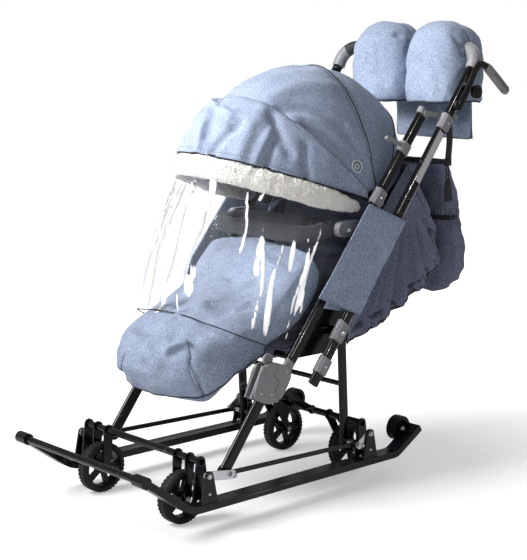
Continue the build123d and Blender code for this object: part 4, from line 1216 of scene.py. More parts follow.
@dataclass
class Studio:
    """The floor, the light, the background and the camera."""

    camera_place: tuple = (2.3965, -2.1937, 1.0130)
    camera_tilt: float = 80.41
    camera_turn: float = 47.88
    lens: float = 95.68
    sensor: float = 36.0
    floor_half: float = 5.0
    floor_colour: Colour = (0.80, 0.80, 0.81)
    floor_near: tuple = (0.50,
                         0.34)     # the distance and glow where the floor begins to fade to white
    floor_far: tuple = (1.4, 0.90)       # the distance and glow where it has faded
    sky: float = 0.27
    lamps: tuple = (
        Lamp("key", (-1.0, -2.8, 2.9), 1.8, 172.0),
        Lamp("canopy_light", (-0.3, -2.2, 1.6), 0.5, 2.0, (0.0, -0.25, 0.94), 28.0),
        Lamp("fill", (3.2, -0.6, 1.8), 2.4, 9.0),
        Lamp("back", (-0.8, 3.2, 2.6), 2.0, 24.0),
    )

    def build(self) -> None:
        """Makes everything that isn't the object."""
        scene = bpy.context.scene
        scene.view_settings.view_transform = "Standard"
        self.build_floor()
        self.build_world(scene)
        for lamp in self.lamps:
            lamp.build()
        camera = bpy.data.cameras.new("camera")
        camera.lens, camera.sensor_width, camera.sensor_fit = self.lens, self.sensor, "HORIZONTAL"
        eye = bpy.data.objects.new("camera", camera)
        eye.location = self.camera_place
        eye.rotation_euler = (math.radians(self.camera_tilt), 0.0, math.radians(self.camera_turn))
        scene.collection.objects.link(eye)
        scene.camera = eye

    def build_floor(self) -> None:
        """The pale floor, which keeps the object's shadow."""
        h = self.floor_half
        floor = new_object("floor", [(-h, -h, 0), (h, -h, 0), (h, h, 0), (-h, h, 0)],
                           [(0, 1, 2, 3)])
        material = bpy.data.materials.new("floor")
        material.use_nodes = True
        n = Nodes(material.node_tree)
        shader = material.node_tree.nodes["Principled BSDF"]
        shader.inputs["Base Color"].default_value = rgba(self.floor_colour)
        shader.inputs["Roughness"].default_value = 0.7
        shader.inputs["Specular IOR Level"].default_value = 0.1
        path = n.add("ShaderNodeLightPath")
        place = n.add("ShaderNodeTexCoord").outputs["Object"]
        away = n.add("ShaderNodeVectorMath", {"operation": "LENGTH"},
                     args=(place,)).outputs["Value"]
        (near, dim), (far, bright) = self.floor_near, self.floor_far
        glow = n.band(away, near, far, dim, bright)
        seen = n.math("MULTIPLY", path.outputs["Is Camera Ray"], glow)
        n.feed(shader.inputs["Emission Color"], (1.0, 1.0, 1.0, 1.0))
        n.feed(shader.inputs["Emission Strength"], seen)
        floor.data.materials.append(material)

    def build_world(self, scene: bpy.types.Scene) -> None:
        """An even pale light; what sees it directly sees white."""
        world = bpy.data.worlds.new("studio")
        world.use_nodes = True
        n = Nodes(world.node_tree)
        path = n.add("ShaderNodeLightPath")
        seen = n.math("MAXIMUM", path.outputs["Is Camera Ray"], path.outputs["Is Transmission Ray"])
        strength = n.band(seen, 0.0, 1.0, self.sky, 1.0)
        back = world.node_tree.nodes["Background"]
        back.inputs["Color"].default_value = (1.0, 1.0, 1.0, 1.0)
        n.feed(back.inputs["Strength"], strength)
        scene.world = world


@dataclass(frozen=True)
class Arch:
    """One arch of the canopy, in a plane through the pivot line."""

    reach: float
    angle: float
    square: float
    pivot: tuple = (0.165, 0.650)

    def towards(self, other: "Arch", t: float) -> "Arch":
        """An arch part of the way to another one."""
        def mix(a: float, b: float) -> float:
            """A value part of the way."""
            return a + (b - a) * t
        return Arch(mix(self.reach, other.reach), mix(self.angle, other.angle),
                    mix(self.square, other.square),
                    (mix(self.pivot[0], other.pivot[0]), mix(self.pivot[1], other.pivot[1])))

    def point(self, turn: float, half: float, inset: float = 0.0, drop: float = 0.0) -> Vector:
        """The point at a turn, from 0 on the left to 180 on the right.

        Args:
            turn: the turn round the arch, in degrees.
            half: half the arch's width there.
            inset: how far it is from the arch, toward the pivot.
            drop: how far it is under the arch's plane.

        Returns:
            The point.
        """
        a, t = math.radians(self.angle), math.radians(turn)
        c, s = math.cos(t), math.sin(t)
        x = half * powered(c, 2 / self.square)
        r = (self.reach - inset) * max(s, 0.0) ** (2 / self.square)
        return Vector((x, self.pivot[0] - r * math.cos(a) - drop * math.sin(a),
                       self.pivot[1] + r * math.sin(a) - drop * math.cos(a)))


def face_from(obj: bpy.types.Object, centre: Vector) -> bpy.types.Object:
    """Turns an open sheet's faces away from a centre."""
    total = sum(p.area * p.normal.dot(p.center - centre) for p in obj.data.polygons)
    if total < 0:
        obj.data.flip_normals()
    return obj


def ring_snap(shop: Workshop, name: str, place: Vector, way: Vector, radius: float,
              body: str) -> None:
    """A ring with a button inside it, flat on the cloth.

    Args:
        shop: the workshop that places it.
        name: the piece's name.
        place: its middle.
        way: the cloth's outward direction.
        radius: the ring's radius.
        body: the CAD body's name.
    """
    side = way.orthogonal().normalized()
    up = way.cross(side)
    parts = []
    for label, share, thick, count in (("rim", 1.0, 0.0019, 28), ("core", 0.36, 0.0018, 16)):
        line = [place + (side * math.cos(a) + up * math.sin(a)) * radius * share
                for a in full_turn(count)]
        parts.append(sweep(label, line, ring(thick, 8), way, loop=True))
    shop.place(join(name, parts), body, "silver_strip", "zinc")


@dataclass
class Canopy:
    """The hood: three panels over bows, its fleece roll and the wind film."""

    shop: Workshop
    half: float = 0.187
    layer_step: float = 0.0064
    nest: float = 0.0080
    low: float = 4.5
    columns: int = 120
    rows: int = 30
    skin: float = 0.0018
    lift: float = 0.0004
    fleece_turn: float = 6.5
    fleece_radius: float = 0.0135
    film_turn: float = 14.0
    film_columns: int = 220
    film_rows: int = 60
    film_skin: float = 0.0006
    rim: Arch = Arch(0.432, 17.0, 2.1)
    middle: Arch = Arch(0.376, 41.0, 2.4)
    rear: Arch = Arch(0.324, 83.0, 2.0)
    back: Arch = Arch(0.288, 128.0, 2.0)
    tail: Arch = Arch(0.216, 156.0, 2.2)
    lines: dict = field(default_factory=dict)

    def turns(self, low: float | None = None) -> list[float]:
        """The turns of a row's columns."""
        start = self.low if low is None else low
        return [start + (180 - 2 * start) * j / (self.columns - 1) for j in range(self.columns)]

    def row(self, arch: Arch, layer: int, inset: float = 0.0, low: float | None = None) -> Line:
        """One row of a panel in its layer."""
        half = self.half - layer * self.layer_step
        crown = [math.sin(math.radians(t)) for t in self.turns(low)]
        return [arch.point(t, half - inset * 0.25, layer * self.nest + inset * c)
                for t, c in zip(self.turns(low), crown)]

    def panel(self, name: str, first: Arch, last: Arch, layer: int, folds: Sequence[tuple],
              hem: bool) -> bpy.types.Object:
        """A panel between two arches; a hem turns in over the next one.

        Args:
            name: the piece's name.
            first: its front arch.
            last: its rear arch.
            layer: how many panels lie outside it.
            folds: (turn, share, turn, share, depth, width) of each soft fold.
            hem: whether its rear edge turns in.

        Returns:
            The sheet, still without thickness.
        """
        rows = [self.row(first.towards(last, i / self.rows), layer) for i in range(self.rows + 1)]
        self.lines[name] = (rows[0], rows[-1])
        if hem:
            beyond = first.towards(last, 1.012)
            rows.append(self.row(beyond, layer, 0.0030))
            rows.append(self.row(first.towards(last, 1.006), layer, 0.0058))
        obj = face_from(surface(name, rows), PIVOT)
        rumple(obj, 0.0035, 0.075, 3.0 + layer)
        for turn0, s0, turn1, s1, depth, width in folds:
            spots = ((turn0, s0), ((turn0 + turn1) / 2, (s0 + s1) / 2), (turn1, s1))
            line = [first.towards(last, s).point(turn, self.half, layer * self.nest)
                    for turn, s in spots]
            press(obj, smooth_line(line, 12), depth, width)
        return obj

    def build(self) -> None:
        """Makes the whole hood."""
        front = self.panel("canopy_front_panel", self.rim, self.middle, 0, FRONT_FOLDS, True)
        middle = self.panel("canopy_middle_panel", self.middle, self.rear, 1, MIDDLE_FOLDS, True)
        rear = self.panel("canopy_rear_panel", self.rear, self.back, 2, REAR_FOLDS, False)
        self.dress_seams(front, middle, rear)
        for obj, body, node, flat in ((front, "canopy_visor", "canopy_front", (0.21, 1.02)),
                                      (middle, "canopy_hood", "canopy_middle", (0.30, 0.90)),
                                      (rear, "upper_frame", "canopy_rear", (0.26, 0.80))):
            self.shop.sew(obj, body, "blue_linen", flat, "stretched",
                          ("visor_bow", "hood_bow", "back_bow"),
                          self.skin, (node,))
        self.build_tail()
        self.build_fleece()
        self.build_film()

    def along(self, first: Arch, last: Arch, share: float, layer: int = 0) -> Line:
        """The line across a panel at a share of its way from front to rear."""
        arch = first.towards(last, share)
        return [arch.point(t, self.half - layer * self.layer_step, layer * self.nest)
                for t in self.turns()]

    def dress_seams(self, front: bpy.types.Object, middle: bpy.types.Object,
                    rear: bpy.types.Object) -> None:
        """Piping and stitches along the bows.

        Args:
            front: the front panel.
            middle: the middle panel.
            rear: the rear panel.
        """
        shop, lift = self.shop, self.lift
        rim = self.lines["canopy_front_panel"][0]
        shop.pipe("rim_piping", on_surface(front, even(rim, 140), lift), 0.0015, "canopy_visor")
        inner = self.along(self.rim, self.middle, 0.075)
        shop.stitch("rim_stitches", [on_surface(front, inner, lift)], "canopy_visor")
        edge = self.along(self.rim, self.middle, 0.985)
        shop.pipe("front_seam_piping", on_surface(front, edge), 0.0006, "canopy_visor", "thread",
                  "dark_linen")
        ahead = self.along(self.rim, self.middle, 0.945)
        shop.stitch("front_seam_stitches", [on_surface(front, ahead, lift)], "canopy_visor")
        last = self.lines["canopy_middle_panel"][1]
        shop.pipe("middle_seam_piping", on_surface(middle, even(last, 140), 0.0006), 0.0013,
                  "canopy_hood")
        before = self.along(self.middle, self.rear, 0.93, 1)
        shop.pipe("middle_seam_welt", on_surface(middle, before), 0.0006, "canopy_hood")
        last = self.lines["canopy_rear_panel"][1]
        shop.pipe("rear_seam_piping", on_surface(rear, even(last, 120), 0.0006), 0.0011,
                  "upper_frame")
        self.build_snap(middle)

    def build_snap(self, panel: bpy.types.Object) -> None:
        """The round ring snap low on the left of the middle panel."""
        arch = self.middle.towards(self.rear, 0.32)
        spot = arch.point(15.0, self.half - self.layer_step, self.nest)
        place = on_surface(panel, [spot], 0.0018)[0]
        ring_snap(self.shop, "canopy_snap", place, Vector((1.0, -0.10, 0.22)).normalized(), 0.0140,
                  "canopy_hood")

    def build_tail(self) -> None:
        """The cloth from the last bow down to the top of the hanging back."""
        rows = [self.row(self.back.towards(self.tail, i / 14), 2) for i in range(15)]
        obj = face_from(surface("canopy_tail_panel", rows), PIVOT)
        rumple(obj, 0.006, 0.06, 9.0)
        self.shop.sew(obj, "upper_frame", "blue_linen", (0.15, 0.60), "stretched", ("back_bow",),
                      self.skin)

    def build_fleece(self) -> None:
        """The curly roll under the front rim."""
        wide = 180 - 2 * self.fleece_turn
        turns = [self.fleece_turn + wide * i / 139 for i in range(140)]
        path = [self.rim.point(t, self.half - 0.006, 0.007, 0.026) for t in turns]
        normal = Vector((0, math.sin(math.radians(self.rim.angle)),
                         math.cos(math.radians(self.rim.angle))))

        def size(t: float) -> float:
            """The roll tapers to its ends."""
            return 0.22 + 0.78 * min(1.0, 11.0 * min(t, 1 - t)) ** 0.5

        roll = sweep("fleece_roll", path, ring(self.fleece_radius, 20, 1.85, 2.3), normal, size)
        roll = modify(roll, "SUBSURF", levels=1, render_levels=1)
        rumple(roll, 0.0030, 0.022, 5.0)
        rumple(roll, 0.0014, 0.006, 8.0)
        obj = self.shop.grow("fleece_roll", roll, self.shop.repeats.curls, "canopy_visor", "fleece",
                             stands_for=("fleece_trim",), Density=95000.0, Size=0.0017, Seed=4)

    def film_turns(self) -> np.ndarray:
        """The turns of the film's columns."""
        wide, count = 180 - 2 * self.film_turn, self.film_columns
        return self.film_turn + wide * np.arange(count) / (count - 1)

    def film_lines(self) -> list[Line]:
        """The film's rows, from its top under the fleece to its hem over the muff."""
        columns, count = self.film_columns, self.film_rows
        left = smooth_line(mm(FILM_HEM), columns // 2)
        hem = left + flipped(reversed(left))
        rows, turns = [], self.film_turns()
        for i in range(count):
            t = i / (count - 1)
            bow = math.sin(math.pi * t)
            row = []
            for j, low in enumerate(hem):
                turn = turns[j]
                side = abs(math.cos(math.radians(turn))) ** 6
                top = self.rim.point(turn, self.half - 0.004, 0.010, 0.034)
                row.append(top.lerp(low, t)
                           + Vector((0.0, (0.030 * side - 0.009 * (1 - side)) * bow, 0.004 * bow)))
            rows.append(row)
        return rows

    def build_film(self) -> None:
        """The clear film, with long folds from the fleece down to its hem and painted glare along their ridges."""
        columns = self.film_columns
        rows = self.film_lines()
        obj = face_from(surface("wind_film", rows), Vector((0, 0.1, 0.5)))
        places, out = co_array(obj), normals(obj)
        index = np.arange(len(places))
        turn = self.film_turns()[index % columns]
        down = (index // columns) / (self.film_rows - 1)
        lift, crease = np.zeros(len(places)), np.zeros(len(places))
        for centre, drift, height, width, low, high in FILM_FOLDS:
            line = centre + drift * down + 1.2 * np.sin(9 * down + centre)
            grow = np.clip((down - low) / 0.12, 0, 1) * np.clip((high - down) / 0.12, 0, 1)
            shape = np.exp(-((turn - line) / width) ** 2) * grow
            lift += height * shape
            # painted glare along each fold's ridge
            ridge = np.exp(-((turn - line - 0.25 * width) / (0.42 * width)) ** 2)
            crease += ridge * grow * min(1.0, abs(height) / 0.006)
        # painted glare spots
        for centre, down_at, reach_turn, reach_down in FILM_GLARE:
            crease += np.exp(-((turn - centre) / reach_turn) ** 2
                             - ((down - down_at) / reach_down) ** 2)
        lift += 0.002 * np.sin(turn * 0.9) * np.sin(math.pi * down)
        puff = lift * np.sin(math.pi * np.clip(down * 1.05, 0, 1)) ** 0.4
        move_to(obj, places + out * puff[:, None])
        # the painted glare mask goes on the mesh for the film's material
        mark = obj.data.attributes.new("crease", "FLOAT", "POINT")
        mark.data.foreach_set("value", np.clip(crease, 0, 1.5).astype(np.float32))
        hem = [Vector(p) for p in co_array(obj)[-columns:]]
        self.shop.sew(obj, "canopy_visor", "clear_film", (0.66, 0.62), "hung",
                      ("fleece_roll", "foot_muff_shell"),
                      self.film_skin, ("rain_film",))
        hem_cord = self.shop.pipe("film_hem", hem, 0.0013, "canopy_visor", "piping", "dark_linen")
        top = self.rim.point(90.0, self.half, 0.01, 0.034)
        for piece in (obj, hem_cord):
            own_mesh(piece)


FILM_HEM = (
    (186, -77, 372), (186, -120, 350), (180, -165, 357), (172, -215, 376), (160, -258, 396),
    (142, -290, 412),
    (108, -298, 417), (60, -296, 422), (0, -296, 424),
)
FRONT_FOLDS = (
    (108, 0.92, 78, 0.62, -0.0110, 0.009), (100, 0.80, 70, 0.50, 0.0090, 0.012),
    (92, 0.45, 84, 0.02, -0.0080, 0.009), (66, 0.9, 60, 0.1, -0.0070, 0.016),
    (54, 0.7, 52, 0.05, -0.0060, 0.008),
    (100, 0.95, 84, 0.28, 0.0108, 0.014), (112, 0.75, 104, 0.1, -0.0072, 0.016),
    (70, 0.55, 74, 0.05, 0.0072, 0.010),
    (58, 0.85, 40, 0.40, 0.0072, 0.012), (48, 0.5, 46, 0.02, 0.0063, 0.008),
    (36, 0.7, 30, 0.1, 0.0072, 0.010),
    (80, 0.6, 60, 0.75, -0.0054, 0.014), (128, 0.9, 134, 0.2, 0.0072, 0.014),
)
MIDDLE_FOLDS = (
    (60, 0.05, 34, 0.55, 0.0085, 0.012), (52, 0.02, 28, 0.40, -0.0068, 0.012),
    (44, 0.02, 20, 0.30, 0.0085, 0.010),
    (95, 0.05, 84, 0.8, 0.0076, 0.022), (70, 0.1, 56, 0.9, -0.0068, 0.020),
    (120, 0.1, 128, 0.9, 0.0068, 0.02),
    (30, 0.55, 16, 0.75, 0.0068, 0.010), (24, 0.2, 14, 0.5, 0.0068, 0.008),
)
REAR_FOLDS = (
    (84, 0.1, 40, 0.85, 0.006, 0.018), (60, 0.1, 25, 0.6, -0.006, 0.014),
    (110, 0.1, 100, 0.9, 0.006, 0.02),
)
FILM_FOLDS = (
    (124.0, -2.0, 0.008, 1.6, 0.02, 0.9), (117.0, 3.0, 0.007, 1.1, 0.05, 0.75),
    (132.0, -4.0, 0.009, 1.8, 0.0, 1.0),
    (141.0, -3.0, 0.008, 1.6, 0.0, 1.0), (109.0, 6.0, 0.006, 0.9, 0.0, 0.5),
    (101.0, -3.0, 0.0055, 0.8, 0.1, 0.7),
    (84.0, 4.0, 0.007, 1.2, 0.05, 1.05), (72.0, 2.0, 0.008, 1.3, 0.0, 0.6),
    (90.0, 10.0, 0.005, 0.9, 0.5, 1.0),
    (60.0, -3.0, 0.004, 0.9, 0.1, 0.35), (43.0, 0.0, 0.008, 1.5, 0.25, 1.0),
    (34.0, 4.0, 0.005, 1.2, 0.3, 1.0),
    (150.0, 0.0, 0.006, 1.2, 0.1, 1.0), (22.0, 2.0, 0.004, 1.0, 0.1, 0.9),
    (112.0, -14.0, 0.004, 0.8, 0.45, 0.95),
    (26.0, 0.0, 0.005, 0.8, 0.2, 1.0), (52.0, 2.0, 0.005, 0.9, 0.0, 0.6),
    (128.0, 5.0, 0.006, 0.8, 0.0, 0.5),
)
# Spots of painted glare on the film: turn, share of the way down, reach in turn and reach down.
FILM_GLARE = (
    (80.0, 0.80, 2.8, 0.06), (77.0, 0.68, 1.5, 0.05), (45.0, 0.55, 0.9, 0.16),
    (38.0, 0.78, 0.8, 0.14),
    (118.0, 0.12, 3.0, 0.05), (113.0, 0.22, 2.4, 0.04), (98.0, 0.86, 1.6, 0.10),
    (70.0, 0.14, 1.2, 0.20),
    (31.0, 0.42, 0.7, 0.10), (25.0, 0.66, 0.6, 0.16), (104.0, 0.90, 2.4, 0.05),
    (122.0, 0.30, 1.0, 0.10),
)


# ---------------------------------------------------------------- soft goods
def closed_line(points: Sequence[tuple[float, float]], count: int) -> np.ndarray:
    """A smooth closed outline in Y and Z, in metres, as evenly spaced points."""
    line = smooth_line([(0.0, y / 1000, z / 1000) for y, z in points], count, loop=True)
    return np.array([(p.y, p.z) for p in line])


def inset(outline: np.ndarray, depth: float) -> np.ndarray:
    """An outline moved inwards by a depth."""
    way = np.roll(outline, -1, axis=0) - np.roll(outline, 1, axis=0)
    way /= np.maximum(np.linalg.norm(way, axis=1), 1e-9)[:, None]
    inner = np.stack([-way[:, 1], way[:, 0]], axis=1)
    y, z = outline[:, 0], outline[:, 1]
    turn = float(np.sum(y * np.roll(z, -1) - np.roll(y, -1) * z))
    return outline + inner * (depth if turn > 0 else -depth)


def pillow(name: str, outline: np.ndarray, half: float, edge: float,
           cap: float = 0.004) -> bpy.types.Object:
    """A closed soft block across X: an outline with round edges and crowned sides.

    Args:
        name: the object's name.
        outline: the side outline, in Y and Z.
        half: half its width.
        edge: the round edges' radius.
        cap: how far its sides crown.

    Returns:
        The closed block.
    """
    steps = [(half + cap, edge * 1.5), (half + cap * 0.6, edge * 1.2)]
    for i in range(7):
        a = math.pi / 2 * i / 6
        steps.append((half - edge * (1 - math.cos(a)), edge * (1 - math.sin(a))))
    inner = half - edge
    steps += [(inner * (1 - i / 8), 0.0) for i in range(1, 8)]
    stations = steps + [(0.0, 0.0)] + [(-x, d) for x, d in reversed(steps)]
    soft = np.clip((-0.06 - outline[:, 0]) / 0.14, 0.30, 1.0)[:, None]
    rows = [[Vector((x, y, z)) for y, z in outline + (inset(outline, d) - outline) * soft]
            for x, d in stations]
    return surface(name, rows, loop=True, ends=Ends.CLOSED)


def carve(obj: bpy.types.Object, tool: bpy.types.Object) -> bpy.types.Object:
    """Cuts a closed tool out of a closed piece and removes the tool."""
    modify(obj, "BOOLEAN", object=tool, operation="DIFFERENCE", solver="MANIFOLD")
    bpy.data.objects.remove(tool)
    return obj


@dataclass
class FootMuff:
    """The padded foot muff: a soft shell, its seams, darts and snap."""

    shop: Workshop
    half: float = 0.150
    pad: float = 0.011
    edge: float = 0.020
    pocket_edge: float = 0.016
    voxel: float = 0.0050
    pressure: float = 1.6
    cap: float = 0.006
    dart: tuple = (0.0050, 0.0060)       # a dart's depth and width

    outline = ((-347, 246), (-395, 300), (-392, 345), (-362, 378), (-272, 415), (-137, 470),
               (-58, 543), (-30, 556),
               (-6, 502), (-56, 407), (-152, 352), (-166, 328), (-262, 274))
    pocket = ((-338, 266), (-379, 306), (-376, 341), (-352, 365), (-266, 400), (-131, 455),
              (-46, 520), (-24, 580),
              (30, 560), (30, 480), (-40, 412), (-140, 366), (-168, 343), (-262, 292))

    @staticmethod
    def shape(obj: bpy.types.Object, half: float) -> None:
        """Rounds the toe in plan and crowns the top across."""
        p = co_array(obj)
        toe = np.clip((-0.23 - p[:, 1]) / 0.17, 0, 1) ** 1.3
        side = np.abs(p[:, 0]) / half
        p[:, 1] += 0.060 * side ** 3 * toe
        p[:, 0] *= 1 - 0.10 * toe + 0.13 * np.clip((p[:, 1] + 0.24) / 0.16, 0, 1)
        top = np.clip((p[:, 2] - 0.335 - (p[:, 1] + 0.39) * 0.28) / 0.05, 0, 1)
        p[:, 2] += top * (0.010 - 0.020 * side ** 2)
        move_to(obj, p)

    def build(self) -> None:
        """Makes the muff."""
        obj = pillow("foot_muff_shell", closed_line(self.outline, 120), self.half, self.edge)
        self.shape(obj, self.half)
        tool = pillow("pocket", closed_line(self.pocket, 100), self.half - self.pad,
                      self.pocket_edge)
        self.shape(tool, self.half)
        carve(obj, tool)
        settle(obj, self.voxel, self.pressure, self.cap)
        rumple(obj, 0.0050, 0.070, 2.0)
        rumple(obj, 0.0022, 0.026, 6.0)
        for a, b, depth, width in MUFF_FOLDS:
            line = on_surface(obj, fold_line(a, b, 12))
            press(obj, line, depth, width)
        self.dress(obj)
        self.shop.place(obj, "upper_frame", "blue_linen", stands_for=["foot_muff"])

    def dress(self, obj: bpy.types.Object) -> None:
        """The bottom binding, the darts with a near-black cord along each as painted shade in its fold, the lip's
        binding and the ring snap.
        """
        shop = self.shop
        half = mm(MUFF_HEM)
        line = smooth_line(half + flipped(reversed(half[:-1])), 150)
        shop.pipe("muff_binding", even(on_surface(obj, line, 0.0004), 150), 0.0017, "upper_frame")
        darts = []
        for points in MUFF_SEAMS:
            line = on_surface(obj, smooth_line(mm(points), 30))
            press(obj, line, *self.dart)
            laid = on_surface(obj, line, 0.0002)
            darts.append(laid)
            # a thin near-black cord along the dart stands in for the shade in its fold: painted shade
            shop.pipe(f"muff_dart_{len(darts)}", laid, 0.0007, "upper_frame")
        shop.stitch("muff_dart_stitches", darts, "upper_frame", spacing=0.0042)
        edge = [Vector((x, -0.034, 0.552)) for x in (-0.150, 0.150)]
        shop.pipe("muff_lip_binding", even(on_surface(obj, smooth_line(edge, 40), 0.0008), 60),
                  0.0026, "upper_frame")
        place = on_surface(obj, [Vector((-0.0647, -0.2836, 0.4150))], 0.0016)[0]
        ring_snap(shop, "muff_snap", place, Vector((0, -0.36, 0.93)), 0.0130, "upper_frame")


MUFF_HEM = (
    (150, -150, 352), (149, -215, 316), (147, -275, 284), (138, -325, 262), (105, -352, 256),
    (55, -362, 254),
    (0, -364, 254),
)
MUFF_FOLDS = (
    ((78, -371, 366), (109, -352, 383), -0.011, 0.009),
    ((109, -352, 383), (134, -356, 379), -0.009, 0.008),
    ((92, -380, 356), (120, -366, 370), 0.008, 0.010),
    ((70, -352, 384), (112, -330, 394), 0.007, 0.012),
    ((-77, -362, 378), (-18, -374, 364), -0.008, 0.010),
    ((-18, -374, 364), (22, -392, 340), -0.007, 0.010),
    ((-60, -340, 388), (0, -356, 378), 0.008, 0.013),
    ((16, -287, 409), (15, -322, 396), -0.007, 0.010),
    ((30, -384, 356), (60, -390, 330), -0.007, 0.014),
    ((60, -340, 388), (40, -374, 366), 0.006, 0.014),
    ((150, -300, 350), (150, -230, 340), 0.007, 0.014),
    ((148, -250, 385), (150, -180, 395), -0.007, 0.014),
    ((-90, -380, 340), (-70, -394, 300), -0.007, 0.012),
    ((150, -200, 350), (150, -150, 430), -0.007, 0.014),
    ((60, -180, 450), (90, -110, 480), 0.008, 0.014),
    ((-20, -200, 442), (20, -110, 482), -0.009, 0.016),
    ((120, -90, 510), (40, -70, 522), -0.012, 0.014),
    ((-90, -150, 460), (-60, -90, 495), 0.008, 0.014),
    ((40, -240, 430), (90, -200, 442), -0.006, 0.014),
    ((-110, -90, 505), (-20, -60, 530), -0.010, 0.016),
    ((100, -240, 420), (130, -180, 436), 0.007, 0.012),
    ((0, -130, 474), (60, -60, 520), 0.008, 0.014),
)
MUFF_SEAMS = (
    ((125, -365, 375), (142, -366, 352), (150, -364, 326), (150, -345, 290), (150, -330, 262)),
    ((-56, -393, 336), (-61, -394, 318), (-64, -393, 298), (-82, -378, 280)),
)


@dataclass
class Mittens:
    """The two padded hand muffs on the push bar, open below."""

    shop: Workshop
    pad: float = 0.010
    voxel: float = 0.0046
    pressure: float = 1.4
    cap: float = 0.004
    square: float = 2.7
    top: float = 1.068
    shoulder: float = 0.955
    bar: float = 0.4625                  # the push bar's Y
    hem: float = 0.872
    deep: float = 0.086
    flap_middle: float = 0.012
    flap_half: float = 0.125
    flap_top: float = 0.960
    flap_drop: float = 0.182
    spans: tuple = ((Side.LEFT, 0.033, 0.206, 1.0),
                    (Side.RIGHT, -0.151, 0.029, 7.0))   # X from, X to, seed

    def shell(self, name: str, x0: float, x1: float, low: float, shrink: float) -> bpy.types.Object:
        """The muff's outer or inner form as a closed loft with a domed top.

        Args:
            name: the object's name.
            x0: its right end.
            x1: its left end.
            low: its lower end's height.
            shrink: how far it lies inside the outer form.

        Returns:
            The closed form.
        """
        middle, half = (x0 + x1) / 2, (x1 - x0) / 2 - shrink
        top = self.top - shrink
        rows: list[Line] = []
        for i in range(25):
            s = i / 24
            z = top - (top - low) * (1 - math.cos(s * math.pi / 2))
            up = min(1.0, max(0.0, (z - self.shoulder) / (top - self.shoulder)))
            waist = 0.965 + 0.035 * math.cos((z - self.shoulder) * 14)
            across = half * (1 - up ** 2.5) ** (1 / 2.3) * waist
            deep = (self.deep - shrink) * (1 - up ** 2.6) ** (1 / 2.2)
            y = self.bar + 0.006 * (1 - up) - 0.004
            row = []
            for a in full_turn(56):
                x = middle + max(across, 0.002) * powered(math.cos(a), 2 / self.square)
                out = max(deep, 0.002) * powered(math.sin(a), 2 / self.square)
                row.append(Vector((x, y + out, z)))
            rows.append(row)
        return surface(name, rows, loop=True, ends=Ends.CLOSED)

    def build_flap(self) -> None:
        """The wide padded flap that hangs behind both muffs."""
        shop = self.shop
        rows = []
        for i in range(40):
            z = self.flap_top - self.flap_drop * i / 39
            y = 0.5525 - 0.006 * math.sin(i / 12)
            rows.append([Vector((self.flap_middle + self.flap_half * powered(math.cos(a), 0.20),
                                 y + 0.0060 * powered(math.sin(a), 0.7), z))
                         for a in (2 * math.pi * (j + 0.5) / 120 for j in range(120))])
        obj = surface("hand_muff_flap", rows, loop=True, ends=Ends.CLOSED)
        rumple(obj, 0.0040, 0.050, 3.0)
        edge = smooth_line(mm(FLAP_EDGE), 120)
        shop.pipe("flap_binding", even(on_surface(obj, edge, 0.0004), 140), 0.0016, "handle")
        shop.place(obj, "handle", "blue_linen")

    def build(self) -> None:
        """Makes both muffs."""
        for side, x0, x1, seed in self.spans:
            obj = self.shell(f"hand_muff_{side.label}", x0, x1, self.hem, 0.0)
            carve(obj, self.shell("inside", x0, x1, self.hem - 0.072, self.pad))
            settle(obj, self.voxel, self.pressure, self.cap)
            rumple(obj, 0.0045, 0.055, seed)
            rumple(obj, 0.0018, 0.020, seed + 3)
            for a, b, depth, width in MITTEN_FOLDS:
                move = Vector(((x0 + x1) / 2, 0, 0))
                line = smooth_line([Vector(p) / 1000 + move for p in (a, b)], 8)
                press(obj, on_surface(obj, line), depth, width)
            self.bind(obj, side, x0, x1)
            self.shop.place(obj, "handle", "blue_linen", stands_for=[f"mitten_{side.label}"])
        self.build_flap()

    def bind(self, obj: bpy.types.Object, side: Side, x0: float, x1: float) -> None:
        """The dark binding of the hem and the stitched side seam.

        Args:
            obj: the muff.
            side: which muff.
            x0: its right end.
            x1: its left end.
        """
        shop, middle, half = self.shop, (x0 + x1) / 2, (x1 - x0) / 2
        hem = [Vector((middle + half * math.cos(a), self.bar + 0.002 + self.deep * math.sin(a),
                       self.hem + 0.001))
               for a in full_turn(60)]
        laid = even(on_surface(obj, hem, 0.0008), 120, loop=True)
        shop.pipe(f"muff_hem_{side.label}", laid, 0.0018, "handle", loop=True)
        seam = []
        for i in range(40):
            a = math.pi * i / 39
            seam.append(Vector((middle + (half + 0.01) * math.cos(a), 0.466,
                                0.90 + 0.175 * math.sin(a))))
        laid = even(on_surface(obj, seam), 90)
        press(obj, laid, 0.0022, 0.0040)
        shop.stitch(f"muff_seam_{side.label}", [on_surface(obj, laid, 0.0003)], "handle",
                    spacing=0.0048)


FLAP_EDGE = (
    (137, 552, 950), (137, 550, 860), (136, 550, 790), (126, 551, 779), (12, 551, 778),
    (-102, 551, 779),
    (-112, 550, 790), (-113, 550, 860), (-113, 552, 950),
)
MITTEN_FOLDS = (
    ((-50, 385, 1010), (-20, 380, 930), 0.003, 0.012),
    ((30, 382, 1000), (52, 388, 900), 0.003, 0.010),
    ((-70, 400, 940), (-30, 380, 890), 0.003, 0.010),
    ((60, 420, 1030), (84, 440, 990), 0.006, 0.009),
    ((84, 450, 1020), (70, 430, 980), 0.005, 0.009), ((0, 384, 905), (20, 384, 880), -0.002, 0.012),
)


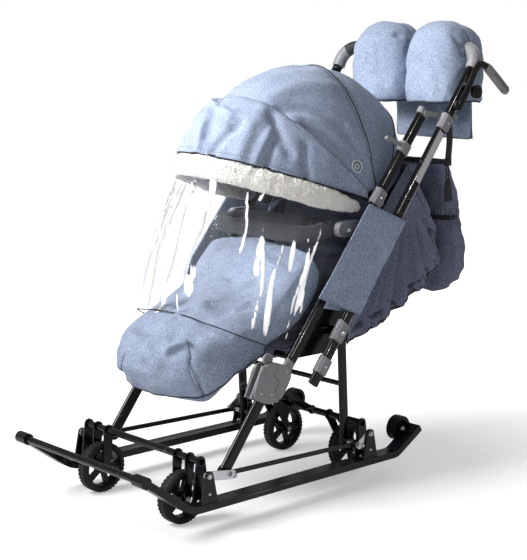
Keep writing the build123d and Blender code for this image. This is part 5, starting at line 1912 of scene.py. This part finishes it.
@dataclass
class BackSkirt:
    """The hanging back of the seat: a fanned sheet from the tubes down to a bound edge."""

    shop: Workshop
    half: float = 0.187
    corner: float = 0.030
    rows: int = 170
    wall: int = 60
    fan: tuple = (0.262, 0.662)
    skin: float = 0.0018

    top = ((60, 432), (80, 480), (118, 556), (170, 624), (225, 690), (264, 733))
    low = ((74, 322), (130, 344), (193, 370), (276, 405), (350, 446), (390, 500), (380, 556),
           (347, 619), (310, 668),
           (292, 733))

    def rib(self, a: Vector, b: Vector, s: float) -> Line:
        """A rib of the sheet: down the left wall, across and up the right wall.

        Args:
            a: its upper end on the middle plane.
            b: its lower end on the middle plane.
            s: the rib's share of the way from front to rear.

        Returns:
            The rib's points.
        """
        out: Line = []
        for i in range(self.wall):
            p = a.lerp(b, i / self.wall)
            out.append(Vector((self.half, p.y, p.z)))
        way = (b - a).normalized()
        for i in range(8):
            turn = math.pi / 2 * i / 7
            p = b - way * self.corner * (1 - math.sin(turn))
            out.append(Vector((self.half - self.corner * (1 - math.cos(turn)), p.y, p.z)))
        wide = self.half - self.corner
        for i in range(1, 24):
            x = wide * (1 - 2 * i / 24)
            rise = min(1.0, max(0.0, (s - 0.55) / 0.15))
            room = 0.034 * max(0.0, 1 - (x / 0.165) ** 4) * rise * (1.15 - s)
            out.append(Vector((x, b.y + room, b.z - 0.004 * math.cos(x * 9) * (1 - s))))
        return out + flipped(reversed(out[:self.wall + 8]))

    def build(self) -> None:
        """Makes the sheet, its folds and its binding."""
        ends = [smooth_line([(0, y / 1000, z / 1000) for y, z in line], self.rows)
                for line in (self.top, self.low)]
        rows = [self.rib(a, b, i / (self.rows - 1)) for i, (a, b) in enumerate(zip(*ends))]
        obj = face_from(surface("back_skirt_cloth", rows), Vector((0, 0.22, 0.56)))
        p = co_array(obj)
        across, below = p[:, 1] - self.fan[0], self.fan[1] - p[:, 2]
        turn, reach = np.degrees(np.arctan2(across, below)), np.hypot(across, below)
        wall = np.clip((np.abs(p[:, 0]) - 0.150) / 0.034, 0,
                       1) ** 2 * np.clip((reach - 0.03) / 0.09, 0, 1)
        lift = np.zeros(len(p))
        for centre, height, width in SKIRT_FOLDS:
            lift += height * np.exp(-((turn - centre) / width) ** 2)
        p[:, 0] += np.sign(p[:, 0]) * np.clip(lift * 1.5, -0.016, 0.004) * wall
        move_to(obj, p)
        rumple(obj, 0.0025, 0.045, 4.0)
        edge = [row[self.wall - 2] for row in rows[:100]]
        pieces = [obj]
        for side, line in ((Side.LEFT, edge), (Side.RIGHT, flipped(edge))):
            laid = on_surface(obj, even(line, 110), 0.0010)
            pieces.append(self.shop.pipe(f"back_skirt_binding_{side.label}", laid, 0.0014,
                                         "upper_frame"))
        self.shop.sew(obj, "upper_frame", "dark_linen", (0.72, 0.90), "hung",
                      ("canopy_tail_panel",), self.skin,
                      ("back_skirt",))
        for piece in pieces:
            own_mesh(piece)


SKIRT_FOLDS = (
    (-58.0, -0.007, 3.5), (-46.0, -0.010, 4.0), (-36.5, 0.003, 1.4), (-27.0, -0.011, 4.2),
    (-14.5, 0.003, 1.4),
    (-8.0, -0.010, 2.6), (-2.4, 0.003, 1.2), (6.5, -0.011, 3.8), (15.5, 0.003, 1.2),
    (24.0, -0.010, 3.4),
    (33.0, 0.003, 1.5), (44.0, -0.010, 4.5), (58.0, -0.006, 4.0), (-20.0, -0.004, 1.2),
    (10.5, -0.004, 1.0),
)


@dataclass
class RearBag:
    """The sagging bag behind the seat, with its rim and gathered band."""

    shop: Workshop
    skin: float = 0.0020
    columns: int = 200
    band: float = 0.594
    front: float = 0.404

    levels = ((0.728, 0.166, 0.452), (0.700, 0.170, 0.462), (0.650, 0.180, 0.470),
              (0.616, 0.188, 0.466),
              (0.594, 0.190, 0.458), (0.570, 0.196, 0.468), (0.520, 0.203, 0.478),
              (0.470, 0.202, 0.480),
              (0.440, 0.194, 0.474), (0.420, 0.176, 0.458), (0.412, 0.150, 0.444))

    def level(self, z: float) -> tuple[float, float]:
        """The bag's half width and rear face at a height."""
        for (z1, w1, y1), (z0, w0, y0) in zip(self.levels, self.levels[1:]):
            if z >= z0:
                t = (z - z0) / (z1 - z0)
                t = t * t * (3 - 2 * t)
                return w0 + (w1 - w0) * t, y0 + (y1 - y0) * t
        return self.levels[-1][1], self.levels[-1][2]

    def loop(self, z: float) -> Line:
        """The bag's outline at a height: flat towards the seat, round at the back."""
        (half, rear), front = self.level(z), self.front
        out = []
        gather = math.exp(-((z - self.band) / 0.030) ** 2)
        for j in range(self.columns):
            a = 2 * math.pi * j / self.columns
            c, s = math.cos(a), math.sin(a)
            x = half * powered(c, 0.42)
            y = (front + rear) / 2 + (rear - front) / 2 * powered(s, 0.62)
            fine = 0.0030 * gather * math.sin(46 * a + 3 * math.sin(7 * a))
            pleat = fine + 0.0022 * math.sin(9 * a + 20 * z)
            out.append(Vector((x + pleat * c, y + pleat * max(s, 0.0),
                               z + 0.004 * math.sin(3 * a) * (z < 0.43))))
        return out

    def build(self) -> None:
        """Makes the bag."""
        shop = self.shop
        top, low = self.levels[0][0], self.levels[-1][0]
        heights = [top - (top - low) * i / 90 for i in range(91)]
        rows = [self.loop(z) for z in heights]
        last, count = rows[-1], self.columns
        for shrink in (0.9, 0.7, 0.45, 0.2, 0.02):
            middle = sum(last, Vector()) / count
            rows.append([middle.lerp(p, shrink) - Vector((0, 0, 0.004 * (1 - shrink)))
                         for p in last])
        obj = face_from(surface("rear_bag_cloth", rows, loop=True), Vector((0, 0.44, 0.55)))
        rumple(obj, 0.0045, 0.060, 3.0)
        rumple(obj, 0.0020, 0.022, 5.0)
        rim = on_surface(obj, rows[0])
        shop.place(sweep("rear_bag_rim", rim, ring(0.0018, 8, 2.6), loop=True), "upper_frame",
                   "piping", "dark_linen")
        belt = on_surface(obj, self.loop(self.band), 0.0006)
        shop.place(sweep("rear_bag_band", even(belt, 160, True), ring(0.0018, 8, 3.6), loop=True),
                   "upper_frame", "webbing")
        shop.sew(obj, "upper_frame", "dark_linen", (0.62, 0.80), "hung", ("back_skirt_cloth",),
                 self.skin,
                 ("rear_bag",))


@dataclass
class SideSleeves:
    """The cloth sleeves round the tubes beside the seat, open to the front."""

    shop: Workshop
    skin: float = 0.0016
    ahead: float = 0.047
    behind: float = 0.0205
    outer: float = 0.2375
    inner: float = 0.2085
    length: float = 0.249
    steps: int = 61

    def build(self) -> None:
        """Makes the left sleeve and mirrors it."""
        for side in Side:
            obj, lines = self.sheet(side)
            name = f"side_sleeve_{side.label}"
            for key, line in zip(("low", "high", "front"), lines):
                if side is Side.RIGHT:
                    line = flipped(line)
                self.shop.pipe(f"{name}_{key}_hem", on_surface(obj, line, 0.0004), 0.0011,
                               "upper_frame", "blue_linen", "blue_linen")
            self.shop.sew(obj, "upper_frame", "blue_linen", (0.36, 0.30), "stretched",
                          (f"main_tube_{side.label}",),
                          self.skin, (name,))

    def sheet(self, side: Side) -> tuple[bpy.types.Object, list[Line]]:
        """The sleeve's sheet, with its lower, upper and front edges."""
        rows: list[Line] = []
        for i in range(self.steps):
            t = i / (self.steps - 1)
            main, handle = 0.156 + self.length * t, 0.059 + self.length * t
            front = on_main(main, -self.ahead, self.outer)
            rear = on_handle(handle, self.behind, self.outer)
            bow = 0.006 * math.sin(math.pi * t)
            out = [front.lerp(rear, j / 26)
                   + Vector((0.0012 * math.sin(math.pi * j / 26) + 0.0003 * bow, 0, 0))
                   for j in range(27)]
            inner = on_handle(handle, self.behind, self.inner)
            middle, push = (rear + inner) / 2, (rear - front).normalized() * 0.004
            for k in range(1, 9):
                a = math.pi * k / 9
                out.append(middle + Vector((0.0145 * math.cos(a), 0, 0)) + push * math.sin(a))
            deep = on_main(main, 0.004, self.inner)
            out += [inner.lerp(deep, j / 12) for j in range(13)]
            rows.append(out)
        obj = surface("side_sleeve", rows)
        rumple(obj, 0.0016, 0.040, 6.0)
        for a, b, depth, width in SLEEVE_FOLDS:
            press(obj, fold_line(a, b, 10), depth, width)
        places = co_array(obj)
        wide = len(rows[0])
        shaped = [[Vector(p) for p in places[i * wide:(i + 1) * wide]] for i in range(self.steps)]
        edges = [even(shaped[0][:36], 50), even(shaped[-1][:36], 50),
                 even([row[0] for row in shaped], 50)]
        obj = face_from(obj, Vector((0.222, 0.08, 0.55)))
        obj.name = f"side_sleeve_cloth_{side.label}"
        if side is Side.RIGHT:
            obj.data.transform(Matrix.Scale(-1.0, 4, ACROSS))
            obj.data.flip_normals()
        return obj, edges


SLEEVE_FOLDS = (
    ((238, -50, 470), (238, 60, 480), 0.0022, 0.010),
    ((238, 20, 560), (238, 90, 520), -0.0018, 0.012),
    ((238, 60, 600), (238, 110, 560), 0.0022, 0.010),
    ((238, -10, 500), (238, 40, 540), 0.0016, 0.014),
    ((238, 100, 560), (238, 130, 610), 0.0018, 0.010),
)


@dataclass
class Seat:
    """The seat cushion, the backrest (in millimetres) and the padded bumper bar."""

    shop: Workshop
    cap: float = 0.004
    channel: tuple = (0.0035, 0.006)     # a sewn channel's depth and width
    back_angle: float = 67.8
    back_foot: tuple = (0, 78, 345)
    back_half: float = 17.0
    bar_radius: float = 0.0198
    plate: tuple = (0.1835, 0.064, 0.5920)
    plate_radius: float = 0.0185

    def cushion(self, name: str, outline: Sequence[tuple], half: float,
                cap: float) -> bpy.types.Object:
        """A crowned cushion from a side outline in millimetres."""
        obj = slab(name, [(y / 1000, z / 1000) for y, z in outline], -half, half, 0.010, 4)
        settle(obj, 0.0060, 1.6, cap)
        return rumple(obj, 0.0016, 0.050, 4.0)

    def build(self) -> None:
        """Makes the three pieces."""
        seat = self.cushion("seat_cushion", ((-151, 319), (59, 319), (59, 349), (-151, 349)),
                            0.149, self.cap)
        for x in (-0.075, 0.0, 0.075):
            press(seat, [Vector((x, -0.14, 0.350)), Vector((x, 0.05, 0.350))], *self.channel)
        self.shop.place(seat, "upper_frame", "dark_linen", stands_for=["seat_pan"])
        self.build_back()
        self.build_bumper()

    def build_back(self) -> None:
        """The backrest, with stitched channels in its front face."""
        a = math.radians(self.back_angle)
        way, out = Vector((0, math.cos(a), math.sin(a))), Vector((0, math.sin(a), -math.cos(a)))
        foot, half = Vector(self.back_foot), self.back_half
        corners = [foot + out * half - way * 10, foot + way * 419 + out * half,
                   foot + way * 419 - out * half, foot - out * half - way * 10]
        back = self.cushion("backrest_cushion", [c.yz for c in corners], 0.148, self.cap)
        lines = []
        face = foot - out * (half + 0.5)
        for s in (95, 185, 275, 360):
            lines.append(mm((x, *(face + way * s).yz) for x in range(-120, 121, 12)))
        for x in (-60, 60):
            lines.append(mm((x, *(face + way * s).yz) for s in range(40, 400, 20)))
        for line in lines:
            press(back, line, *self.channel)
        self.shop.stitch("backrest_stitches",
                         [on_surface(back, even(line, 60), 0.0003) for line in lines],
                         "seat_back", slot="dark_linen")
        self.shop.place(back, "seat_back", "dark_linen", stands_for=["backrest"])

    def build_bumper(self) -> None:
        """The padded bar: a foam sleeve with a seam, and its dark ends."""
        plan = rounded([(0.155, 0.046), (0.155, -0.038), (-0.155, -0.038), (-0.155, 0.046)], 0.055,
                       10)
        start = min(range(len(plan)), key=lambda i: (-plan[i][1], -plan[i][0]))
        ordered = plan[start:] + plan[:start]
        if ordered[1][1] > 0.04:
            ordered = [ordered[0]] + ordered[:0:-1]
        path = even([Vector((x, y, 0.598 - 0.010 * (0.046 - y) / 0.084)) for x, y in ordered], 90)
        path = [p for p in path if p.y < 0.0465]
        foam = sweep("bumper_sleeve", path, ring(self.bar_radius, 28), UP)
        rumple(foam, 0.0008, 0.030, 2.0)
        seam = [p + UP * 0.0196 for p in path[4:-4]]
        press(foam, seam, 0.0016, 0.0030)
        self.shop.stitch("bumper_stitches", [on_surface(foam, seam, 0.0002)], "upper_frame",
                         slot="bumper_foam")
        ends = [sweep("end", [path[a], path[b]], ring(self.bar_radius + 0.0008, 28), UP)
                for a, b in ((0, 5), (-1, -6))]
        self.shop.place(join("bumper_ends", ends), "upper_frame", "black_plastic")
        self.build_discs()
        self.shop.place(foam, "upper_frame", "bumper_foam", stands_for=["bumper_bar"])

    def build_discs(self) -> None:
        """The round plate with a ringed screw at each end of the bar."""
        plates, screws = [], []
        for side in Side:
            x, y, z = self.plate[0] * side.value, *self.plate[1:]
            plates.append(slab("plate", disc_outline(y, z, self.plate_radius, 40), x - 0.0050,
                               x + 0.0050, 0.0020))
            centre = Vector((x + 0.0050 * side.value, y, z))
            for radius, size in ((0.0100, 0.0012), (0.0045, 0.0022)):
                screws.append(hoop("screw", centre, radius, size, 40))
        self.shop.place(join("bumper_plates", plates), "upper_frame", "black_plastic")
        self.shop.place(join("bumper_screws", screws), "upper_frame", "zinc")


# ---------------------------------------------------------------- frame, handle and wheels
def strip_along(name: str, points: Sequence[Vector], half: float, x0: float, x1: float,
                bevel: float) -> bpy.types.Object:
    """A flat strip between two points, wide in its own plane and thick across X.

    Args:
        name: the object's name.
        points: its two ends.
        half: half its width.
        x0: one face's X.
        x1: the other face's X.
        bevel: its rims' bevel.

    Returns:
        The strip.
    """
    a, b = Vector(points[0]), Vector(points[-1])
    way = (b - a).normalized()
    side = Vector((0, -way.z, way.y)) * half
    outline = [(p.y, p.z) for p in (a + side, b + side, b - side, a - side)]
    return slab(name, outline, x0, x1, bevel)


def moulded(name: str, outline: Sequence[tuple], radius: float, x0: float, x1: float,
            bevel: float) -> bpy.types.Object:
    """A moulded cover: a rounded side outline in millimetres with soft rims."""
    return slab(name, rounded([(y / 1000, z / 1000) for y, z in outline], radius, 6), x0, x1,
                bevel, 4)


@dataclass
class Frame:
    """What dresses the tubes: moulded covers, bolts, light lines painted as highlights and buttons."""

    shop: Workshop
    cheek: float = 0.2108
    # thin light ribs along the tubes, coloured as painted highlights: their radius and their offset from a tube's
    # middle
    trim: float = 0.00055
    trim_off: float = 0.010
    main_face: float = 0.2071
    handle_face: float = 0.2311
    pad_half: float = 0.0125
    # spans of the painted highlight ribs up the main and handle tubes
    main_trims: tuple = ((0.020, 0.150), (0.410, 0.445), (0.480, 0.570), (0.605, 0.680))
    handle_trims: tuple = ((-0.066, -0.026), (0.026, 0.056), (0.312, 0.548), (0.594, 0.700))
    handle_pads: tuple = ((0.0, 0.022), (-0.088, 0.018), (0.570, 0.018))
    main_pad: float = 0.451
    knob_rings: tuple = ((0.0120, 0.0024, 0.0), (0.0070, 0.0014, 0.0012), (0.0018, 0.0018, 0.0008))
    rivets: tuple = ((-0.228, 0.268), (-0.196, 0.262), (-0.152, 0.306))
    handle_bolts: tuple = ((0.0, 0.0074), (-0.088, 0.0036), (0.570, 0.0036))
    nut: tuple = (0.0230, 0.0052)        # its distance from the wheel's middle, its radius

    cover = ((-226, 326), (-190, 333), (-141, 314), (-136, 290), (-166, 244), (-205, 238),
             (-252, 260))
    split = ((-186, 330), (-180, 312), (-190, 300), (-176, 286), (-186, 268), (-176, 244))

    def build(self) -> None:
        """Makes the dressing of both sides."""
        for side in Side:
            self.build_housing(side)
            self.build_trim(side)
            self.build_clamp_covers(side)
        self.build_bolts()

    def put(self, parts: Sequence[bpy.types.Object], side: Side, label: str, body: str, finish: str,
            slot: str | None = None) -> None:
        """Places parts made on the left as one piece on a side.

        Args:
            parts: the parts, which are used up.
            side: the side that the piece goes on.
            label: the piece's name without its side.
            body: the CAD body's name.
            finish: the palette's name of its finish.
            slot: the record's slot, where it isn't the finish's name.
        """
        obj = join("part", parts) if len(parts) > 1 else parts[0]
        name = f"{label}_{side.label}"
        if side is Side.RIGHT:
            left, obj = obj, mirrored(obj, name)
            bpy.data.objects.remove(left)
        obj.name = name
        self.shop.place(obj, body, finish, slot)

    def build_housing(self, side: Side) -> None:
        """The smooth cover on a fold housing, its split line and its knob."""
        face = self.cheek
        outer = moulded("cover", self.cover, 0.016, face - 0.002, face + 0.0045, 0.0032)
        split = smooth_line([(face + 0.0044, y / 1000, z / 1000) for y, z in self.split], 40)
        inner = moulded("cover_in", self.cover, 0.016, 0.1850, 0.1898, 0.0016)
        self.put([outer, inner], side, "housing_cover", "front_legs", "grey_plastic")
        groove = sweep("split", split, ring(0.0007, 8), ACROSS)
        self.put([groove], side, "housing_split", "front_legs", "dark_plastic", "grey_plastic")
        self.build_knob(side)

    def build_knob(self, side: Side) -> None:
        """The ringed round button above a housing."""
        centre = Vector((self.cheek - 0.0040, -0.2010, 0.3380))
        parts = [hoop("ring", centre + ACROSS * out, radius, size, 32, 10)
                 for radius, size, out in self.knob_rings]
        parts.append(slab("disc", disc_outline(*centre.yz, 0.012, 32), centre.x - 0.006,
                          centre.x + 0.0006))
        self.put(parts, side, "housing_knob", "front_legs", "grey_plastic")

    def build_trim(self, side: Side) -> None:
        """The thin light lines along the tubes, painted highlights on thin raised ribs, and the plain silver strip
        on the handle tube.
        """
        off, section = self.trim_off, ring(self.trim, 6)
        lines = [sweep("trim", [on_main(s, -off, self.main_face) for s in span], section)
                 for span in self.main_trims]
        self.put(lines, side, "main_trim", "upper_frame", "highlight", "black_tube")
        lines = [sweep("trim", [on_handle(s, way * off, self.handle_face) for s in span], section)
                 for span in self.handle_trims for way in (-1, 1)]
        self.put(lines, side, "handle_trim", "handle", "highlight", "black_tube")
        plate = strip_along("plate", [on_handle(0.405), on_handle(0.545)], 0.0085, 0.2306, 0.2316,
                            0.0003)
        self.put([plate], side, "handle_strip", "handle", "silver_strip", "zinc")

    def build_clamp_covers(self, side: Side) -> None:
        """Raised pads on the grey clamps of the handle and main tubes."""
        pads = [strip_along("pad", [on_handle(s - half), on_handle(s + half)], self.pad_half,
                            0.2335, 0.2368, 0.0014)
                for s, half in self.handle_pads]
        self.put(pads, side, "handle_clamp_pads", "handle", "grey_plastic")
        ends = [on_main(self.main_pad + way * 0.020) for way in (-1, 1)]
        pad = strip_along("pad", ends, self.pad_half, 0.2095, 0.2125, 0.0012)
        self.put([pad], side, "canopy_clamp_pad", "upper_frame", "grey_plastic")

    def build_bolts(self) -> None:
        """Every visible bolt and rivet, on the body that carries it."""
        shop, out = self.shop, tuple(ACROSS)
        base = []
        for y in (-0.388, 0.099):
            base += [((0.2325, y, 0.120), out, 0.0062), ((0.2325, y, 0.082), out, 0.0036)]
            base += [((0.216, y + way * 0.017, 0.0665), tuple(UP), 0.0042) for way in (-1, 1)]
        base += [((0.2352, -0.3215, 0.110), out, 0.0058), ((0.2352, 0.0675, 0.099), out, 0.0058),
                 ((0.1985, 0.246, 0.098), out, 0.0060)]
        shop.bolt("base_bolts", both_sides(base), "base")
        face = self.cheek + 0.0045
        rivets = [((face, y, z), out, 0.0034) for y, z in self.rivets]
        shop.bolt("housing_rivets", both_sides(rivets), "front_legs", sides=16)
        seat = [((0.2128, *on_main(self.main_pad).yz), out, 0.0042),
                ((0.2075, 0.046, 0.598), out, 0.0052)]
        shop.bolt("frame_bolts", both_sides(seat), "upper_frame", sides=16)
        handle = [((0.2370, *on_handle(s).yz), out, radius) for s, radius in self.handle_bolts]
        shop.bolt("handle_bolts", both_sides(handle), "handle", sides=16)
        reach, washer = self.nut
        for body, axle, x, y in WHEELS:
            for side in Side:
                spots = [((side.value * (x + way * reach), y, WHEEL_HEIGHT),
                          (way * side.value, 0, 0), washer)
                         for way in (-1, 1)]
                shop.bolt(f"{body}_{side.label}_nuts", spots, axle)


@dataclass
class Wheels:
    """Tread, hub rings and rim rings of the four wheels and two rollers."""

    shop: Workshop
    radius: float = 0.0570
    blocks: int = 38
    block: Vector = field(default_factory=lambda: Vector((0.0095, 0.0062, 0.0012)))
    spread: float = 0.0062
    wheel_rings: tuple = ((0.0455, 0.0011, 0.0142),
                          (0.0120, 0.0014, 0.0146))     # radius, thickness, out
    roller_rings: tuple = ((0.0215, 0.0012, 0.0113), (0.0110, 0.0012, 0.0113))

    def build(self) -> None:
        """Dresses every wheel."""
        shop = self.shop
        for body, _, x, y in WHEELS:
            for side in Side:
                name, centre = f"{body}_{side.label}", Vector((x * side.value, y, WHEEL_HEIGHT))
                seed = new_object("seed", [(0, 0, 0)], [])
                shop.grow(f"{name}_tread", seed, shop.repeats.tread, name, "tyre", Centre=centre,
                          Radius=self.radius,
                          Count=self.blocks, Block=self.block, Spread=self.spread)
                rings = self.rings(f"{name}_rings", centre, self.wheel_rings)
                shop.place(rings, name, "black_plastic")
        for side in Side:
            centre = Vector((ROLLER.x * side.value, *ROLLER.yz))
            shop.place(self.rings(f"roller_rings_{side.label}", centre, self.roller_rings),
                       f"roller_wheel_{side.label}", "black_plastic")

    @staticmethod
    def rings(name: str, centre: Vector,
              sizes: Sequence[tuple[float, float, float]]) -> bpy.types.Object:
        """Rings on both faces of a wheel, each (radius, thickness, distance from its middle)."""
        return join(name, [hoop("ring", centre + ACROSS * way * out, radius, thick, 48)
                           for radius, thick, out in sizes for way in (-1, 1)])


@dataclass
class Handle:
    """The push bar's grips and elbows, the lever, the toothed strip and the bag strap."""

    shop: Workshop
    bend: float = 0.044
    grip_radius: float = 0.0152
    lever_x: float = 0.2445
    strap_x: float = 0.2240
    arm_points: tuple = ((0.376, 0.869), (0.405, 0.910), (0.428, 0.948), (0.447, 0.964),
                         (0.472, 0.958))
    arm_discs: tuple = ((0.3757, 0.8690, 0.0125), (0.4105, 0.9155, 0.0120),
                        (0.4440, 0.8990, 0.0165))
    lever_span: tuple = ((0.4700, 0.9590), (0.5480, 0.8975))
    rack_span: tuple = ((0.3810, 0.8600), (0.4310, 0.9290))

    def bar_path(self, side: Side, reach: float) -> Line:
        """The bar's middle line from its foot round the corner to X = reach."""
        foot = on_handle(0.733, 0.0, 0.0)
        lean = (GRIP_BAR - foot).normalized()
        corner = Vector((HANDLE_X, GRIP_BAR.y, GRIP_BAR.z))
        start = corner - lean * self.bend
        out = [Vector((HANDLE_X, foot.y, foot.z)) - lean * 0.004]
        for i in range(13):
            a = math.pi / 2 * i / 12
            out.append(start + Vector((-self.bend * (1 - math.cos(a)), 0, 0)) + lean * self.bend
                       * math.sin(a))
        out.append(Vector((reach, GRIP_BAR.y, GRIP_BAR.z)))
        return [Vector((p.x * side.value, p.y, p.z)) for p in out]

    def build(self) -> None:
        """Makes the pieces on the handle."""
        self.build_grips()
        self.build_lever()
        self.build_strap()

    def build_grips(self) -> None:
        """Grey elbows on both corners and the ribbed soft grip on the right."""
        shop, section = self.shop, ring(self.grip_radius + 0.0012, 24)
        left = even(self.bar_path(Side.LEFT, 0.170), 60)
        shop.place(sweep("grip_elbow_left", left, section, ACROSS), "handle", "grey_plastic")
        right = even(self.bar_path(Side.RIGHT, 0.120), 90)
        shop.place(sweep("grip_elbow_right", right[:34], section, ACROSS), "handle", "grey_plastic")
        soft = right[33:]
        core = sweep("grip_soft_right", soft, ring(self.grip_radius - 0.0004, 24), UP)
        shop.place(core, "handle", "dark_plastic", "black_plastic")
        shop.grow("grip_ribs_right", line_object(soft), shop.repeats.ribs, "handle",
                  "dark_plastic", "black_plastic",
                  Spacing=0.0046, Radius=self.grip_radius, Thickness=0.0013)

    def build_lever(self) -> None:
        """The black arm with its discs, the ribbed grey grip at its end and the toothed strip."""
        shop = self.shop
        path = smooth_line([(self.lever_x, y, z) for y, z in self.arm_points], 50)
        parts = [sweep("arm", path, ring(0.0085, 16, 0.5, 3.0), ACROSS)]
        for y, z, radius in self.arm_discs:
            parts.append(slab("disc", disc_outline(y, z, radius, 32), 0.2315, 0.2430, 0.0022))
            boss = rounded(disc_outline(y, z, radius * 0.5, 8), 0.002)
            parts.append(slab("boss", boss, 0.2425, 0.2450, 0.0008))
        shop.place(join("lever_arm", parts), "handle", "black_plastic", stands_for=["grip_lever"])
        a, b = (Vector((self.lever_x, y, z)) for y, z in self.lever_span)
        line = [a.lerp(b, i / 30) for i in range(31)]
        grip = sweep("lever_grip", line, ring(0.0108, 24, 0.86, 2.6), ACROSS,
                     lambda t: 0.86 + 0.14 * min(1.0, 9 * min(t, 1 - t)) + 0.04
                     * math.sin(t * math.pi))
        shop.place(grip, "handle", "grey_plastic")
        shop.grow("lever_grip_ribs", line_object([a.lerp(b, 0.3), a.lerp(b, 0.92)]),
                  shop.repeats.ribs, "handle",
                  "grey_plastic", Spacing=0.0052, Radius=0.0103, Thickness=0.0012)
        self.build_rack()

    def build_rack(self) -> None:
        """The toothed strip under the lever and its row of light dots, painted highlights."""
        low, high = (Vector((0, y, z)) for y, z in self.rack_span)
        rack = strip_along("rack_strip", [low, high], 0.0060, 0.2262, 0.2312, 0.0008)
        self.shop.place(rack, "handle", "black_plastic")
        # small light discs in the highlight finish: painted highlight dots along the strip
        spots = [((0.2313, *low.lerp(high, 0.08 + 0.105 * i).yz), tuple(ACROSS), 0.0024)
                 for i in range(9)]
        self.shop.bolt("rack_rivets", spots, "handle", "highlight", "black_plastic", 12)

    def build_strap(self) -> None:
        """The bag's strap: webbing, a snap hook and its lower tab."""
        x = self.strap_x
        upper = smooth_line([(x, 0.3600, 0.8300), (x + 0.001, 0.3640, 0.7900),
                             (x, 0.3600, 0.7300)], 30)
        belt = sweep("belt", upper, ring(0.0014, 10, 7.6, 4.0), BACK)
        keeper_line = [Vector((x, 0.3600, z)) for z in (0.7440, 0.7260)]
        keeper = sweep("keeper", keeper_line, ring(0.0026, 10, 4.8, 4.0), BACK)
        tab_line = [Vector((x, 0.3610 + 0.0010 * i, 0.6930 - 0.0105 * i)) for i in range(6)]
        tab = sweep("tab", tab_line, ring(0.0020, 10, 6.4, 4.0), BACK,
                    lambda t: 0.62 + 0.42 * min(1.0, 3 * t))
        self.shop.place(join("strap_webbing", [belt, keeper, tab]), "handle", "webbing",
                        stands_for=["bag_strap"])
        links = []
        for z, high in ((0.7170, 0.0095), (0.7000, 0.0085)):
            line = [Vector((x, 0.3605 + 0.0048 * math.cos(a), z + high * math.sin(a)))
                    for a in full_turn(28)]
            links.append(sweep("link", line, ring(0.0014, 8), ACROSS, loop=True))
        self.shop.place(join("strap_hook", links), "handle", "black_plastic", "webbing")


def dress_frame(palette: Palette) -> None:
    """Gives every CAD node the finish of its slot."""
    slots = {part["node"]: part["material_slot"] for part in frame["record"]["subparts"]}
    for node, obj in frame["nodes"].items():
        obj.data.materials.clear()
        obj.data.materials.append(palette[slots[node]])


def main() -> None:
    """Builds the studio and every sub-assembly in order."""
    logging.basicConfig(level=logging.INFO, format="%(name)s %(message)s")
    Studio().build()
    palette = Palette(Effects())
    shop = Workshop(palette, Repeats())
    dress_frame(palette)
    for part in (Canopy, FootMuff, Mittens, BackSkirt, RearBag, SideSleeves, Seat,
                 Frame, Wheels, Handle):
        part(shop).build()
        LOG.info("%s built", part.__name__)
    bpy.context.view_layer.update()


if __name__ == "__main__":
    main()
